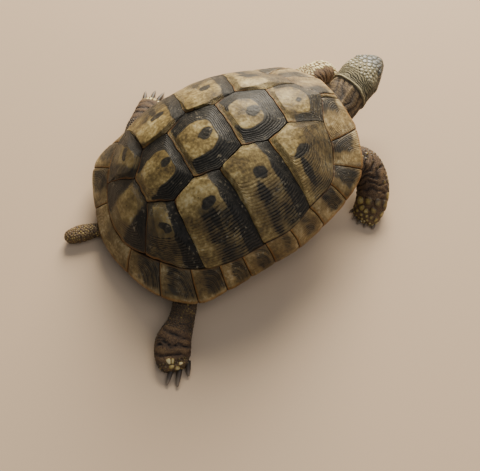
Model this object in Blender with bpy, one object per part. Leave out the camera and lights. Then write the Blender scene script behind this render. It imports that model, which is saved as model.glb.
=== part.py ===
"""Mediterranean spur-thighed tortoise, life size, as a set of closed solids.

The animal walks with its head raised and turned a little to its left. The carapace is one dome
that is parted into scutes, with a ring of marginal scutes round its edge. The soft body lies inside
the shell and its sockets hold the neck, the tail and four legs. Lengths below are in millimetres
and become metres when a mesh is made. +X is the head end, +Y the animal's left and +Z is up.
"""
import math

import bmesh
import bpy
import numpy as np

MM = 0.001
UP = np.array([0.0, 0.0, 1.0])
GAP = 0.3                      # clearance between neighbouring pieces
ORIGIN_SHIFT = (-15.9, -2.9)   # from the middle of the shell to the middle of the whole outline

# ------------------------------------------------------------------ shell: driving sizes
CROWN_X = 15.0                 # the dome's highest point, ahead of the shell's middle
CROWN_Z = 78.5
DOME_SOFTNESS = 0.16           # rounds the crown, as a share of the way to the edge
DOME_SHOULDER = 0.41           # the share of the fall that comes late and steep, near the edge
DOME_POWERS = (1.36, 4.0)      # early and late fall
PLATE_THICKNESS = 2.6
SEAM_DEPTH = 0.7               # how far a scute's rim lies under the dome
PLATE_RINGS = ((0.34, 1.0), (0.68, 0.62), (0.9, 0.18), (1.0, -1.0))   # ring fraction, relief share

# The edge of the shell, from the front midline (0) to the rear midline (13). Each whole number is
# the seam between two marginals: (station, upper edge x y z, rim x y z).
SHELL_EDGE = (
    (0.0, (70.4, 0.0, 65.5), (82.0, 0.0, 57.0)),
    (1.0, (70.1, 1.8, 65.3), (82.2, 2.4, 56.8)),
    (1.6, (62.9, 17.0, 62.6), (82.9, 13.0, 53.6)),
    (2.0, (61.0, 29.0, 58.3), (82.6, 23.0, 50.5)),
    (3.0, (56.2, 40.0, 52.5), (73.0, 45.8, 43.5)),
    (4.0, (49.0, 49.5, 50.0), (56.0, 57.0, 38.0)),
    (5.0, (31.0, 57.0, 48.5), (38.0, 62.0, 31.0)),
    (6.0, (15.0, 62.5, 44.3), (20.0, 65.4, 24.0)),
    (7.0, (-1.0, 62.6, 42.0), (3.5, 65.8, 21.0)),
    (8.0, (-16.0, 62.4, 39.5), (-12.5, 66.3, 18.5)),
    (9.0, (-29.5, 59.6, 36.5), (-28.5, 66.3, 17.0)),
    (10.0, (-44.5, 51.8, 33.0), (-47.0, 65.2, 16.5)),
    (11.0, (-57.5, 37.5, 31.0), (-64.8, 51.5, 18.5)),
    (12.0, (-68.0, 18.3, 25.0), (-75.2, 25.5, 13.5)),
    (13.0, (-71.3, 0.0, 23.0), (-79.5, 0.0, 13.0)),
)
LAST_STATION = 13.0
MARGINALS_PER_SIDE = 11

# Where three scutes meet on the left half of the dome (x, y); the right half mirrors them.
VERTEBRAL_CORNER = {
    "v1_v2": (40.2, 14.2), "v2_c1_c2": (23.7, 20.5), "v2_v3": (8.5, 17.1), "v3_c2_c3": (-8.0, 22.8),
    "v3_v4": (-22.5, 17.9), "v4_c3_c4": (-37.5, 21.0), "v4_v5": (-49.6, 9.0),
}
# Where the seams between the costals, and beside vertebrals 1 and 5, run out on the shell's edge.
V1_C1_STATION = 1.6
C1_C2_STATION = 5.0
C2_C3_STATION = 7.05
C3_C4_STATION = 9.5
C4_V5_STATION = 11.45

# ------------------------------------------------------------------ shell: underside
PLASTRON_Z = 7.5
PLASTRON_THICKNESS = 4.0
PLASTRON_FRONT = 67.0
PLASTRON_REAR = -54.0
BRIDGE_FRONT = 38.0            # the bridges join the plastron to the shell's sides between these
BRIDGE_REAR = -23.0
BRIDGE_EASE = 8.0              # half the length over which a bridge widens
BRIDGE_HALF_WIDTH = 53.5
BRIDGE_RISE_FROM = 44.0        # half width beyond which the bridge turns up
BRIDGE_RISE = 4.5
LOBE_HALF_WIDTH = 32.0
GULAR_TILT_FROM = 57.0         # the front lip of the plastron turns up from here


def catmull_rom(stations, values, at):
    """Smooth curve through values given at rising stations, read at the station at."""
    k = int(np.clip(np.searchsorted(stations, at, side="right") - 1, 0, len(stations) - 2))
    left, right = stations[k], stations[k + 1]
    step = right - left
    slope = []
    for j in (k, k + 1):
        before, after = max(j - 1, 0), min(j + 1, len(stations) - 1)
        slope.append((values[after] - values[before]) / (stations[after] - stations[before]))
    t = (at - left) / step
    return ((2 * t**3 - 3 * t**2 + 1) * values[k] + (t**3 - 2 * t**2 + t) * step * slope[0]
            + (-2 * t**3 + 3 * t**2) * values[k + 1] + (t**3 - t**2) * step * slope[1])


def mirrored_edge():
    """SHELL_EDGE as arrays that run past both midlines, so the curve crosses them squarely."""
    mirror = np.array([1.0, -1.0, 1.0])
    rows = [(s, np.array(a), np.array(b)) for s, a, b in SHELL_EDGE]
    front = [(-s, a * mirror, b * mirror) for s, a, b in reversed(rows[1:4])]
    rear = [(2 * LAST_STATION - s, a * mirror, b * mirror) for s, a, b in reversed(rows[-3:-1])]
    rows = front + rows + rear
    return (np.array([r[0] for r in rows]), np.array([r[1] for r in rows]),
            np.array([r[2] for r in rows]))


EDGE_STATIONS, EDGE_UPPER, EDGE_RIM = mirrored_edge()


def edge_point(station, side):
    """Upper edge and rim of the shell at a station; side is 1 for left and -1 for right."""
    flip = np.array([1.0, side, 1.0])
    upper = catmull_rom(EDGE_STATIONS, EDGE_UPPER, station)
    rim = catmull_rom(EDGE_STATIONS, EDGE_RIM, station)
    return upper * flip, rim * flip


def seam_table():
    """The dome's edge seen from the crown: angle, distance and height, all round."""
    rows = []
    for station in np.linspace(0.0, LAST_STATION, 131):
        x, y, z = edge_point(station, 1)[0]
        rows.append((math.atan2(y, x - CROWN_X), math.hypot(y, x - CROWN_X), z))
    rows = np.array(rows)
    other = rows[::-1] * np.array([-1.0, 1.0, 1.0])
    return np.concatenate([other[:-1], rows])


SEAM = seam_table()


def dome_fall(share):
    """How far the dome has fallen, 0 at the crown and 1 at its edge."""
    def raw(value):
        """The two powers mixed, before they are scaled to run from 0 to 1."""
        soft = math.hypot(value, DOME_SOFTNESS)
        early, late = DOME_POWERS
        return (1.0 - DOME_SHOULDER) * soft**early + DOME_SHOULDER * soft**late

    return (raw(share) - raw(0.0)) / (raw(1.0) - raw(0.0))


def dome_height(x, y):
    """Height of the dome above the floor at a place in plan."""
    angle = math.atan2(y, x - CROWN_X)
    reach = np.interp(angle, SEAM[:, 0], SEAM[:, 1])
    edge_z = np.interp(angle, SEAM[:, 0], SEAM[:, 2])
    share = math.hypot(x - CROWN_X, y) / reach
    return CROWN_Z - (CROWN_Z - edge_z) * dome_fall(share)


def dome_normal(x, y):
    """Outward unit normal of the dome."""
    step = 0.8
    slope_x = (dome_height(x + step, y) - dome_height(x - step, y)) / (2 * step)
    slope_y = (dome_height(x, y + step) - dome_height(x, y - step)) / (2 * step)
    normal = np.array([-slope_x, -slope_y, 1.0])
    return normal / np.linalg.norm(normal)


def dome_point(x, y, raised):
    """A point over the dome, raised along its normal (or sunk when raised is negative)."""
    return np.array([x, y, dome_height(x, y)]) + raised * dome_normal(x, y)


# ------------------------------------------------------------------ meshes
def to_metres(point):
    """Shell millimetres to world metres."""
    return ((point[0] + ORIGIN_SHIFT[0]) * MM, (point[1] + ORIGIN_SHIFT[1]) * MM, point[2] * MM)


def material(name, colour, roughness):
    """A Principled material with an sRGB hex colour."""
    linear = []
    for k in (1, 3, 5):
        c = int(colour[k:k + 2], 16) / 255.0
        linear.append(c / 12.92 if c <= 0.04045 else ((c + 0.055) / 1.055)**2.4)
    made = bpy.data.materials.new(name)
    made.use_nodes = True
    shader = made.node_tree.nodes["Principled BSDF"]
    shader.inputs["Base Color"].default_value = (*linear, 1.0)
    shader.inputs["Roughness"].default_value = roughness
    shader.inputs["Metallic"].default_value = 0.0
    made.diffuse_color = (*linear, 1.0)
    return made


def body_from_rings(name, rings, first_point, last_point, colour, roughness, sharp_deg=35.0):
    """One closed body: rings of equal length skinned in order, each end drawn to a point."""
    mesh = bmesh.new()
    loops = [[mesh.verts.new(to_metres(p)) for p in ring] for ring in rings]
    count = len(loops[0])
    for lower, upper in zip(loops[:-1], loops[1:]):
        for k in range(count):
            n = (k + 1) % count
            mesh.faces.new((lower[k], lower[n], upper[n], upper[k]))
    for loop, tip in ((loops[0], first_point), (loops[-1], last_point)):
        centre = mesh.verts.new(to_metres(tip))
        for k in range(count):
            mesh.faces.new((loop[k], loop[(k + 1) % count], centre))
    bmesh.ops.recalc_face_normals(mesh, faces=mesh.faces)
    if mesh.calc_volume(signed=True) < 0.0:
        bmesh.ops.reverse_faces(mesh, faces=mesh.faces)
    data = bpy.data.meshes.new(name)
    mesh.to_mesh(data)
    mesh.free()
    data.shade_smooth()
    data.set_sharp_from_angle(angle=math.radians(sharp_deg))
    data.materials.append(material(name + "_material", colour, roughness))
    made = bpy.data.objects.new(name, data)
    bpy.context.scene.collection.objects.link(made)
    return made


def boolean(target, cutter, operation):
    """Cut or join target with cutter; a cutter stays in the file as a hidden wire."""
    cutter.hide_render = True
    cutter.display_type = "WIRE"
    modifier = target.modifiers.new(operation.lower() + "_" + cutter.name, "BOOLEAN")
    modifier.object = cutter
    modifier.operation = operation
    modifier.solver = "EXACT"


# ------------------------------------------------------------------ scutes of the dome
def seam_run(first, last, side):
    """Plan points along the dome's edge at every half station, both ends included."""
    halves = [k / 2.0 for k in range(math.ceil(first * 2.0), math.floor(last * 2.0) + 1)]
    points = []
    for station in [first] + [h for h in halves if first + 0.1 < h < last - 0.1] + [last]:
        flip = side if station <= LAST_STATION else -side
        near = station if station <= LAST_STATION else 2 * LAST_STATION - station
        if station < 0.0:
            flip, near = -side, -station
        points.append(edge_point(near, flip)[0][:2])
    return points


def straight_run(start, end, spacing=9.0):
    """Plan points from start towards end, with the end left out."""
    start, end = np.array(start), np.array(end)
    count = max(1, int(round(np.linalg.norm(end - start) / spacing)))
    return [start + (end - start) * k / count for k in range(count)]


def scute(name, outline, relief, colour):
    """A horny plate on the dome with a raised middle, from its outline in plan."""
    outline = [np.array(p) for p in outline]
    centre = sum(outline) / len(outline)
    inner = []
    for k, point in enumerate(outline):
        along = outline[(k + 1) % len(outline)] - outline[k - 1]
        inward = np.array([-along[1], along[0]]) / np.linalg.norm(along)
        if np.dot(inward, centre - point) < 0.0:
            inward = -inward
        inner.append(point + inward * (GAP / 2.0 + 0.04))
    rings = []
    for share, height in PLATE_RINGS:
        raised = relief * height if height > 0.0 else SEAM_DEPTH * height
        rings.append([dome_point(*(centre + (p - centre) * share), raised) for p in inner])
    for share in (1.0, 0.55):
        rings.append([dome_point(*(centre + (p - centre) * share), -PLATE_THICKNESS)
                      for p in inner])
    top = dome_point(*centre, relief)
    bottom = dome_point(*centre, -PLATE_THICKNESS)
    return body_from_rings(name, rings, top, bottom, colour, 0.42)


def corner(key, side):
    """A scute corner on one side of the dome."""
    x, y = VERTEBRAL_CORNER[key]
    return (x, y * side)


def edge_plan(station, side):
    """A place on the dome's edge in plan."""
    return tuple(edge_point(station, side)[0][:2])


def polygon(points):
    """Closed outline through corners with extra points along the longer sides."""
    outline = []
    for start, end in zip(points, points[1:] + points[:1]):
        outline += straight_run(start, end)
    return outline


def build_dome():
    """The five vertebral and eight costal scutes."""
    left, right = 1, -1
    front = seam_run(-V1_C1_STATION, V1_C1_STATION, left)
    first = front[:-1] + straight_run(front[-1], corner("v1_v2", left))
    first += straight_run(corner("v1_v2", left), corner("v1_v2", right))
    first += straight_run(corner("v1_v2", right), front[0])
    scute("vertebral_1", first, 1.0, "#6d675c")
    chains = (("v1_v2", "v2_c1_c2", "v2_v3"), ("v2_v3", "v3_c2_c3", "v3_v4"),
              ("v3_v4", "v4_c3_c4", "v4_v5"))
    for number, chain in enumerate(chains, start=2):
        ring = [corner(key, left) for key in chain] + [corner(key, right) for key in chain[::-1]]
        scute("vertebral_%d" % number, polygon(ring), 1.5, "#77705f")
    rear = seam_run(C4_V5_STATION, 2 * LAST_STATION - C4_V5_STATION, left)
    last = straight_run(corner("v4_v5", left), rear[0]) + rear[:-1]
    last += straight_run(rear[-1], corner("v4_v5", right))
    last += straight_run(corner("v4_v5", right), corner("v4_v5", left))
    scute("vertebral_5", last, 1.0, "#6a6152")
    for word, side in (("left", left), ("right", right)):
        build_costals(word, side)


def build_costals(word, side):
    """The four costal scutes of one side."""
    inner = (
        [corner("v2_c1_c2", side), corner("v1_v2", side), edge_plan(V1_C1_STATION, side)],
        [corner("v3_c2_c3", side), corner("v2_v3", side), corner("v2_c1_c2", side)],
        [corner("v4_c3_c4", side), corner("v3_v4", side), corner("v3_c2_c3", side)],
        [edge_plan(C4_V5_STATION, side), corner("v4_v5", side), corner("v4_c3_c4", side)],
    )
    stations = (V1_C1_STATION, C1_C2_STATION, C2_C3_STATION, C3_C4_STATION, C4_V5_STATION)
    for number in range(4):
        outer = seam_run(stations[number], stations[number + 1], side)
        chain = inner[number]
        if number == 0:
            outline = straight_run(chain[0], chain[1]) + straight_run(chain[1], chain[2])
            outline += outer[:-1] + straight_run(outer[-1], chain[0])
        elif number == 3:
            outline = straight_run(chain[0], chain[1]) + straight_run(chain[1], chain[2])
            outline += straight_run(chain[2], outer[0]) + outer[:-1]
        else:
            outline = straight_run(chain[0], chain[1]) + straight_run(chain[1], chain[2])
            outline += straight_run(chain[2], outer[0]) + outer[:-1]
            outline += straight_run(outer[-1], chain[0])
        scute("costal_%s_%d" % (word, number + 1), outline, 1.3, "#756d5b")


# ------------------------------------------------------------------ marginal scutes
RIM_RADIUS = 1.3               # half the thickness of the shell's sharp edge
LIP_REACH = 8.5                # how far the underside of the edge runs in under the shell
BRIDGE_Z = 13.4                # where the bridge marginals meet the plastron
BRIDGE_STATIONS = (4.5, 5.5, 7.7, 8.7)   # the bridge fades in and out between these stations


def bridge_share(station):
    """1 where the marginals curl under to the plastron, 0 at the open front and rear."""
    rising = np.clip((station - BRIDGE_STATIONS[0]) / (BRIDGE_STATIONS[1] - BRIDGE_STATIONS[0]), 0, 1)
    falling = np.clip((BRIDGE_STATIONS[3] - station) / (BRIDGE_STATIONS[3] - BRIDGE_STATIONS[2]), 0, 1)
    return float(min(rising, falling))


def marginal_section(station, side):
    """The cross-section of the shell's edge, from the dome round the rim and back inside."""
    upper, rim = edge_point(station, side)
    drop = rim - upper
    drop = drop / np.linalg.norm(drop)
    start = upper + drop * (GAP + 0.1)
    outward = np.array([*(edge_point(station, side)[1][:2] - (CROWN_X - 20.0, 0.0)), 0.0])
    outward = outward / np.linalg.norm(outward)
    facing = outward - drop * np.dot(outward, drop)
    facing = facing / np.linalg.norm(facing)
    bridge = bridge_share(station)
    bulge = 0.5 + 1.6 * bridge
    low = start - SEAM_DEPTH * 0.6 * facing
    first = start + (rim - start) * 0.35 + facing * bulge * 0.9
    second = start + (rim - start) * 0.75 + facing * bulge * 0.7
    open_lip = rim - outward * RIM_RADIUS * 0.6 - RIM_RADIUS * UP
    curled_lip = rim - outward * 3.2 - 0.62 * (rim[2] - BRIDGE_Z) * UP
    open_under = rim - outward * LIP_REACH + 2.6 * UP
    curled_under = rim - outward * LIP_REACH - (rim[2] - BRIDGE_Z) * UP
    lip = open_lip + (curled_lip - open_lip) * bridge
    under = open_under + (curled_under - open_under) * bridge
    inside = dome_point(upper[0], upper[1], -PLATE_THICKNESS - 0.8) + drop * GAP
    return [low, first, second, rim, lip, under, inside]


def marginal(name, places, colour):
    """One plate of the shell's edge, skinned over its cross-sections."""
    rings = [marginal_section(station, side) for station, side in places]
    first = np.mean(rings[0], axis=0)
    last = np.mean(rings[-1], axis=0)
    return body_from_rings(name, rings, first, last, colour, 0.45)


def build_marginals():
    """Nuchal, eleven marginals on each side and the single plate over the tail."""
    def clearance(station):
        """Half the gap between two plates, as a length along the stations."""
        ahead = edge_point(min(station + 0.05, LAST_STATION), 1)[1]
        behind = edge_point(max(station - 0.05, 0.0), 1)[1]
        span = min(station + 0.05, LAST_STATION) - max(station - 0.05, 0.0)
        return (GAP / 2.0 + 0.06) / (np.linalg.norm(ahead - behind) / span)

    edge = 1.0 - clearance(0.9)
    marginal("nuchal", [(edge, -1), (0.0, 1), (edge, 1)], "#a08f6c")
    for word, side in (("left", 1), ("right", -1)):
        for number in range(1, MARGINALS_PER_SIDE + 1):
            start = number + clearance(number + 0.1)
            end = number + 1 - clearance(number + 0.9)
            inner = [V1_C1_STATION] if number == 1 else []
            stations = sorted([start, number + 0.5, end] + inner)
            marginal("marginal_%s_%02d" % (word, number), [(s, side) for s in stations], "#8b7c5c")
    last = MARGINALS_PER_SIDE + 1
    start = last + clearance(last + 0.1)
    half = [start, (start + LAST_STATION) / 2.0]
    places = [(s, 1) for s in half] + [(LAST_STATION, 1)] + [(s, -1) for s in half[::-1]]
    marginal("supracaudal", places, "#7d6f54")


# ------------------------------------------------------------------ plastron and trunk
def plastron_half_width(x):
    """Half the plastron's width: a lobe at each end and the wider bridge between them."""
    rise_front = np.clip((BRIDGE_FRONT + BRIDGE_EASE - x) / (2 * BRIDGE_EASE), 0.0, 1.0)
    rise_rear = np.clip((x - BRIDGE_REAR + BRIDGE_EASE) / (2 * BRIDGE_EASE), 0.0, 1.0)
    bridge = min(rise_front, rise_rear)
    bridge = bridge * bridge * (3.0 - 2.0 * bridge)
    end = PLASTRON_FRONT if x > 0 else PLASTRON_REAR
    lobe = LOBE_HALF_WIDTH * max(0.0, 1.0 - (x / end)**6)**0.5
    return lobe + (BRIDGE_HALF_WIDTH - LOBE_HALF_WIDTH) * bridge


def build_plastron():
    """The flat shield under the body; its bridges turn up towards the marginals."""
    rings = []
    shares = (-1.0, -0.8, -0.4, 0.0, 0.4, 0.8, 1.0)
    rear_stops = (PLASTRON_REAR + 1.5, -50.0, -45.0, -40.0, -34.0, -26.0, -20.0, -8.0)
    front_stops = (7.0, 22.0, 30.0, 38.0, 46.0, 56.0, 63.0, PLASTRON_FRONT - 1.5)
    for x in rear_stops + front_stops:
        half = plastron_half_width(x)
        lower = []
        upper = []
        for share in shares:
            outside = max(0.0, abs(share * half) - BRIDGE_RISE_FROM)
            lift = BRIDGE_RISE * outside / (BRIDGE_HALF_WIDTH - BRIDGE_RISE_FROM)
            tilt = 2.0 * (max(0.0, x - GULAR_TILT_FROM) / (PLASTRON_FRONT - GULAR_TILT_FROM))**2
            thin = PLASTRON_THICKNESS * (0.55 if abs(share) == 1.0 else 1.0)
            middle = PLASTRON_Z + PLASTRON_THICKNESS / 2.0 + lift + tilt
            lower.append(np.array([x, share * half, middle - thin / 2.0]))
            upper.append(np.array([x, share * half, middle + thin / 2.0]))
        rings.append(lower + upper[::-1])
    body_from_rings("plastron", rings, np.mean(rings[0], axis=0), np.mean(rings[-1], axis=0),
                    "#8d7c55", 0.5)


TRUNK_REACH = 0.84             # share of the way from the crown to the dome's edge
TRUNK_CLEARANCE = 3.8          # below the outside of the dome
TRUNK_FLOOR = PLASTRON_Z + PLASTRON_THICKNESS + 3 * GAP
TRUNK_SIDES = 28


def build_trunk():
    """The soft body between the carapace and the plastron."""
    def plan(angle, share):
        """A place in plan at a share of the way from the crown to the dome's edge."""
        reach = np.interp(angle, SEAM[:, 0], SEAM[:, 1]) * share
        half_width = 39.0
        x = CROWN_X + reach * math.cos(angle)
        return x, float(np.clip(reach * math.sin(angle), -half_width, half_width))

    angles = [-math.pi + 2 * math.pi * (k + 0.5) / TRUNK_SIDES for k in range(TRUNK_SIDES)]
    rings = []
    for share in (0.3, 0.55, 0.74, TRUNK_REACH):
        ring = []
        for angle in angles:
            ring.append(dome_point(*plan(angle, share), -TRUNK_CLEARANCE))
        rings.append(ring)
    for share, height in ((0.8, 18.0), (0.76, TRUNK_FLOOR), (0.4, TRUNK_FLOOR)):
        rings.append([np.array([*plan(angle, share), height]) for angle in angles])
    top = np.array([CROWN_X, 0.0, CROWN_Z - TRUNK_CLEARANCE])
    bottom = np.array([CROWN_X, 0.0, TRUNK_FLOOR])
    return body_from_rings("trunk", rings, top, bottom, "#4d4636", 0.75)


# ------------------------------------------------------------------ limbs, neck, tail and head
def ring_round(centre, along, half_width, half_height, sides, squareness):
    """A rounded ring square to a direction, kept on or above the floor."""
    side = np.cross(UP, along)
    side = side / np.linalg.norm(side)
    upper = np.cross(along, side)
    ring = []
    for n in range(sides):
        angle = 2 * math.pi * (n + 0.5) / sides
        c, s = math.cos(angle), math.sin(angle)
        a = math.copysign(abs(c)**(2.0 / squareness), c) * half_width
        b = math.copysign(abs(s)**(2.0 / squareness), s) * half_height
        point = centre + side * a + upper * b
        point[2] = max(point[2], 0.0)
        ring.append(point)
    return ring


def jointed_rings(pieces, sides, grow=0.0, squareness=2.3):
    """Rings along one path for each of its pieces, with a thin cut where two pieces meet.

    A piece is a run of stations (x, y, z, half width, half height), and the last place of one is
    the first place of the next.
    """
    path = [np.array(s[:3]) for s in pieces[0]]
    for piece in pieces[1:]:
        path += [np.array(s[:3]) for s in piece[1:]]
    result, index = [], 0
    for number, piece in enumerate(pieces):
        rings = []
        for k, station in enumerate(piece):
            before, after = path[max(index - 1, 0)], path[min(index + 1, len(path) - 1)]
            along = (after - before) / np.linalg.norm(after - before)
            centre = path[index]
            if k == 0 and number > 0:
                centre = centre + along * (GAP / 2.0 + 0.05)
            if k == len(piece) - 1 and number < len(pieces) - 1:
                centre = centre - along * (GAP / 2.0 + 0.05)
            rings.append(ring_round(centre, along, station[3] + grow, station[4] + grow, sides,
                                    squareness))
            index += 1
        index -= 1
        result.append(rings)
    return result


def tube(name, rings, colour, roughness, start_tip=0.0, end_tip=0.0):
    """A closed tube over rings, its ends drawn out by a tip length or left flat at 0."""
    centres = [np.mean(ring, axis=0) for ring in rings]
    back = (centres[0] - centres[1]) / np.linalg.norm(centres[0] - centres[1])
    ahead = (centres[-1] - centres[-2]) / np.linalg.norm(centres[-1] - centres[-2])
    first, last = centres[0] + back * start_tip, centres[-1] + ahead * end_tip
    last[2] = max(last[2], 0.0)
    return body_from_rings(name, rings, first, last, colour, roughness)


# Stations of a soft piece along its middle: (x, y, z, half width, half height).
NECK = ((56.0, 1.0, 40.0, 12.0, 11.5), (70.0, 2.0, 37.0, 12.2, 11.2), (82.0, 4.3, 35.0, 12.3, 11.2),
        (92.0, 8.3, 35.2, 12.7, 11.5), (99.7, 12.1, 36.8, 13.8, 11.9), (103.9, 14.1, 38.0, 14.2, 11.6))
HEAD = ((103.9, 14.1, 38.0, 13.2, 10.6), (109.0, 16.5, 39.0, 13.9, 11.3),
        (113.7, 18.7, 39.6, 13.5, 11.1), (118.6, 20.4, 39.8, 12.2, 10.3),
        (123.0, 21.8, 39.3, 10.0, 9.0), (127.0, 22.9, 38.5, 7.6, 7.4),
        (130.4, 23.8, 37.6, 4.8, 5.5), (132.2, 24.2, 37.0, 2.5, 3.3))
MOUTH_Z = 34.8                 # the bite line, level
EYE_RADIUS = 3.0
EYES = {"eye_left": (118.0, 29.2, 42.9), "eye_right": (122.0, 12.6, 42.9)}
TAIL = ((-50.0, 1.0, 18.6, 6.0, 4.6), (-61.0, 4.6, 13.4, 5.6, 4.4), (-71.5, 10.6, 7.6, 4.9, 4.4),
        (-80.4, 16.0, 5.3, 4.9, 4.5), (-88.9, 18.2, 5.2, 6.2, 4.6), (-95.4, 19.5, 4.9, 5.4, 4.3),
        (-99.2, 20.2, 4.5, 3.9, 3.5))

# Each leg: hip or shoulder to the cut at the knee or elbow, on to the foot, then the direction
# of the claws and the number of claws.
LEGS = {
    "front_left": {
        "path": ((52.0, 24.0, 30.0, 9.6, 9.0), (66.0, 34.0, 27.5, 9.8, 9.2),
                 (80.0, 44.0, 22.5, 10.0, 9.2), (91.0, 50.0, 17.5, 9.8, 9.0),
                 (100.5, 54.5, 12.5, 9.6, 8.4), (109.0, 58.0, 8.2, 9.4, 7.4),
                 (115.5, 60.0, 4.1, 9.2, 6.5), (119.5, 61.0, 2.9, 7.6, 4.8)),
        "knee": 2, "claws": 5, "toes": (1.0, 0.0), "spread": 34.0, "claw_length": 5.5,
    },
    "front_right": {
        "path": ((52.0, -23.0, 30.0, 9.6, 9.5), (66.0, -26.0, 28.0, 10.0, 9.6),
                 (78.0, -27.0, 25.0, 10.6, 10.0), (86.5, -32.0, 21.0, 10.6, 10.0),
                 (87.0, -41.5, 15.0, 10.5, 9.5), (82.8, -49.5, 9.0, 10.4, 8.5),
                 (76.8, -54.4, 4.1, 9.6, 6.5), (72.0, -56.2, 2.9, 7.8, 4.8)),
        "knee": 2, "claws": 5, "toes": (-0.94, -0.34), "spread": 34.0, "claw_length": 5.0,
    },
    "rear_left": {
        "path": ((-40.0, 31.0, 20.5, 10.0, 7.6), (-38.0, 45.0, 12.4, 9.4, 7.0),
                 (-33.5, 59.0, 8.0, 9.2, 6.8), (-26.5, 72.5, 7.8, 9.0, 7.4),
                 (-17.4, 83.2, 6.6, 8.6, 6.6), (-8.9, 91.8, 4.1, 9.1, 6.4),
                 (-4.9, 95.4, 3.0, 7.1, 4.8)),
        "knee": 2, "claws": 4, "toes": (0.7, 0.71), "spread": 20.0, "claw_length": 14.6,
    },
    "rear_right": {
        "path": ((-41.0, -32.0, 20.5, 10.0, 7.6), (-46.5, -46.0, 12.4, 8.8, 7.0),
                 (-54.0, -59.4, 8.4, 7.6, 6.9), (-61.4, -69.1, 8.4, 8.2, 7.7),
                 (-69.8, -77.2, 7.4, 10.9, 7.3), (-74.1, -85.0, 4.1, 10.4, 6.5),
                 (-75.0, -90.5, 3.0, 7.4, 4.9)),
        "knee": 2, "claws": 4, "toes": (-0.62, -0.78), "spread": 18.0, "claw_length": 13.6,
    },
}
SKIN_COLOUR = "#5d5542"


def claw(name, base, direction, length, radius):
    """A curved claw that leaves the foot a little above the floor and ends on it."""
    direction = np.array([direction[0], direction[1], 0.0])
    direction = direction / np.linalg.norm(direction)
    stations = []
    for t, width in ((-0.35, 1.0), (0.0, 1.0), (0.4, 0.78), (0.75, 0.45)):
        centre = np.array(base) + direction * length * t
        centre[2] = base[2] * (1.0 - 0.62 * max(t, 0.0)**1.6)
        stations.append((*centre, radius * width, radius * width * 0.85))
    tip = np.array(base) + direction * length
    rings = jointed_rings([stations], 7, squareness=2.0)[0]
    first = np.mean(rings[0], axis=0)
    return body_from_rings(name, rings, first, np.array([tip[0], tip[1], 0.4]), "#3d3833", 0.4)


def add_claws(foot, leg, spec):
    """Join a fan of claws to the front of a foot."""
    x, y, z, half_width, _ = spec["path"][-1]
    heading = math.atan2(spec["toes"][1], spec["toes"][0])
    across = np.array([-math.sin(heading), math.cos(heading)])
    count = spec["claws"]
    for k in range(count):
        share = 2.0 * k / (count - 1) - 1.0
        turn = heading + math.radians(spec["spread"]) * share
        offset = across * half_width * 0.86 * share
        inset = 1.0 + 2.4 * abs(share)**2
        base = (x + offset[0] - math.cos(heading) * inset, y + offset[1] - math.sin(heading) * inset, z)
        reach = spec["claw_length"] * (1.0 - 0.18 * abs(share)) + inset * 0.4
        tool = claw("claw_%s_%d" % (leg, k + 1), base, (math.cos(turn), math.sin(turn)), reach,
                    1.55 if count == 4 else 1.35)
        boolean(foot, tool, "UNION")


def build_legs(trunk):
    """Upper and lower piece of each leg, the claws on its foot and its socket in the trunk."""
    for leg, spec in LEGS.items():
        path, knee = spec["path"], spec["knee"]
        pieces = [path[:knee + 1], path[knee:]]
        upper, lower = jointed_rings(pieces, 14)
        tube("leg_%s_upper" % leg, upper, SKIN_COLOUR, 0.7, start_tip=2.0)
        foot = tube("leg_%s_lower" % leg, lower, SKIN_COLOUR, 0.7, end_tip=2.2)
        add_claws(foot, leg, spec)
        rings = jointed_rings(pieces, 14, grow=GAP + 0.1)[0]
        boolean(trunk, tube("socket_%s" % leg, rings, SKIN_COLOUR, 0.7, start_tip=2.6), "DIFFERENCE")


def build_head_and_neck(trunk):
    """Neck in its socket, head with the lower jaw cut free, and the two eyes."""
    neck_rings, head_rings = jointed_rings([NECK, HEAD], 18)
    tube("neck", neck_rings, "#554d3b", 0.75, start_tip=2.0)
    rings = jointed_rings([NECK, HEAD], 18, grow=GAP + 0.1)[0][:4]
    boolean(trunk, tube("socket_neck", rings, SKIN_COLOUR, 0.7, start_tip=2.6), "DIFFERENCE")
    head = tube("head", head_rings, "#6f6a58", 0.6, end_tip=0.5)
    jaw = tube("lower_jaw", head_rings, "#6b6350", 0.6, end_tip=0.5)
    for piece, name, sink in ((head, "mouth_gap_head", GAP / 2.0), (jaw, "mouth_gap_jaw", -GAP / 2.0)):
        boolean(piece, mouth_block(name, sink), "DIFFERENCE" if piece is head else "INTERSECT")
    for name, centre in EYES.items():
        eye = ball(name, centre, EYE_RADIUS, "#1c1611", 0.12)
        eye.data.shade_smooth()
        boolean(head, ball(name + "_socket", centre, EYE_RADIUS + GAP, SKIN_COLOUR, 0.7), "DIFFERENCE")


def mouth_block(name, sink):
    """The space below the bite line and ahead of the jaw joint, moved by sink for the gap."""
    hinge, chin, right, left = 111.0, 138.0, 1.0, 42.0
    corners = []
    for z in (MOUTH_Z - 16.0 - sink, MOUTH_Z + sink):
        ring = [(hinge - sink, right, z), (chin, right, z), (chin, left, z), (hinge - sink, left, z)]
        corners.append([np.array(p) for p in ring])
    return body_from_rings(name, corners, np.mean(corners[0], axis=0), np.mean(corners[1], axis=0),
                           SKIN_COLOUR, 0.7)


def ball(name, centre, radius, colour, roughness):
    """A sphere with rings of facets."""
    rings = []
    for k in range(1, 7):
        polar = math.pi * k / 7.0
        rings.append([np.array(centre) + radius * np.array([
            math.sin(polar) * math.cos(a), math.sin(polar) * math.sin(a), math.cos(polar)])
            for a in np.linspace(0.0, 2 * math.pi, 13)[:-1]])
    top = np.array(centre) + np.array([0.0, 0.0, radius])
    bottom = np.array(centre) - np.array([0.0, 0.0, radius])
    return body_from_rings(name, rings, top, bottom, colour, roughness)


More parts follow.
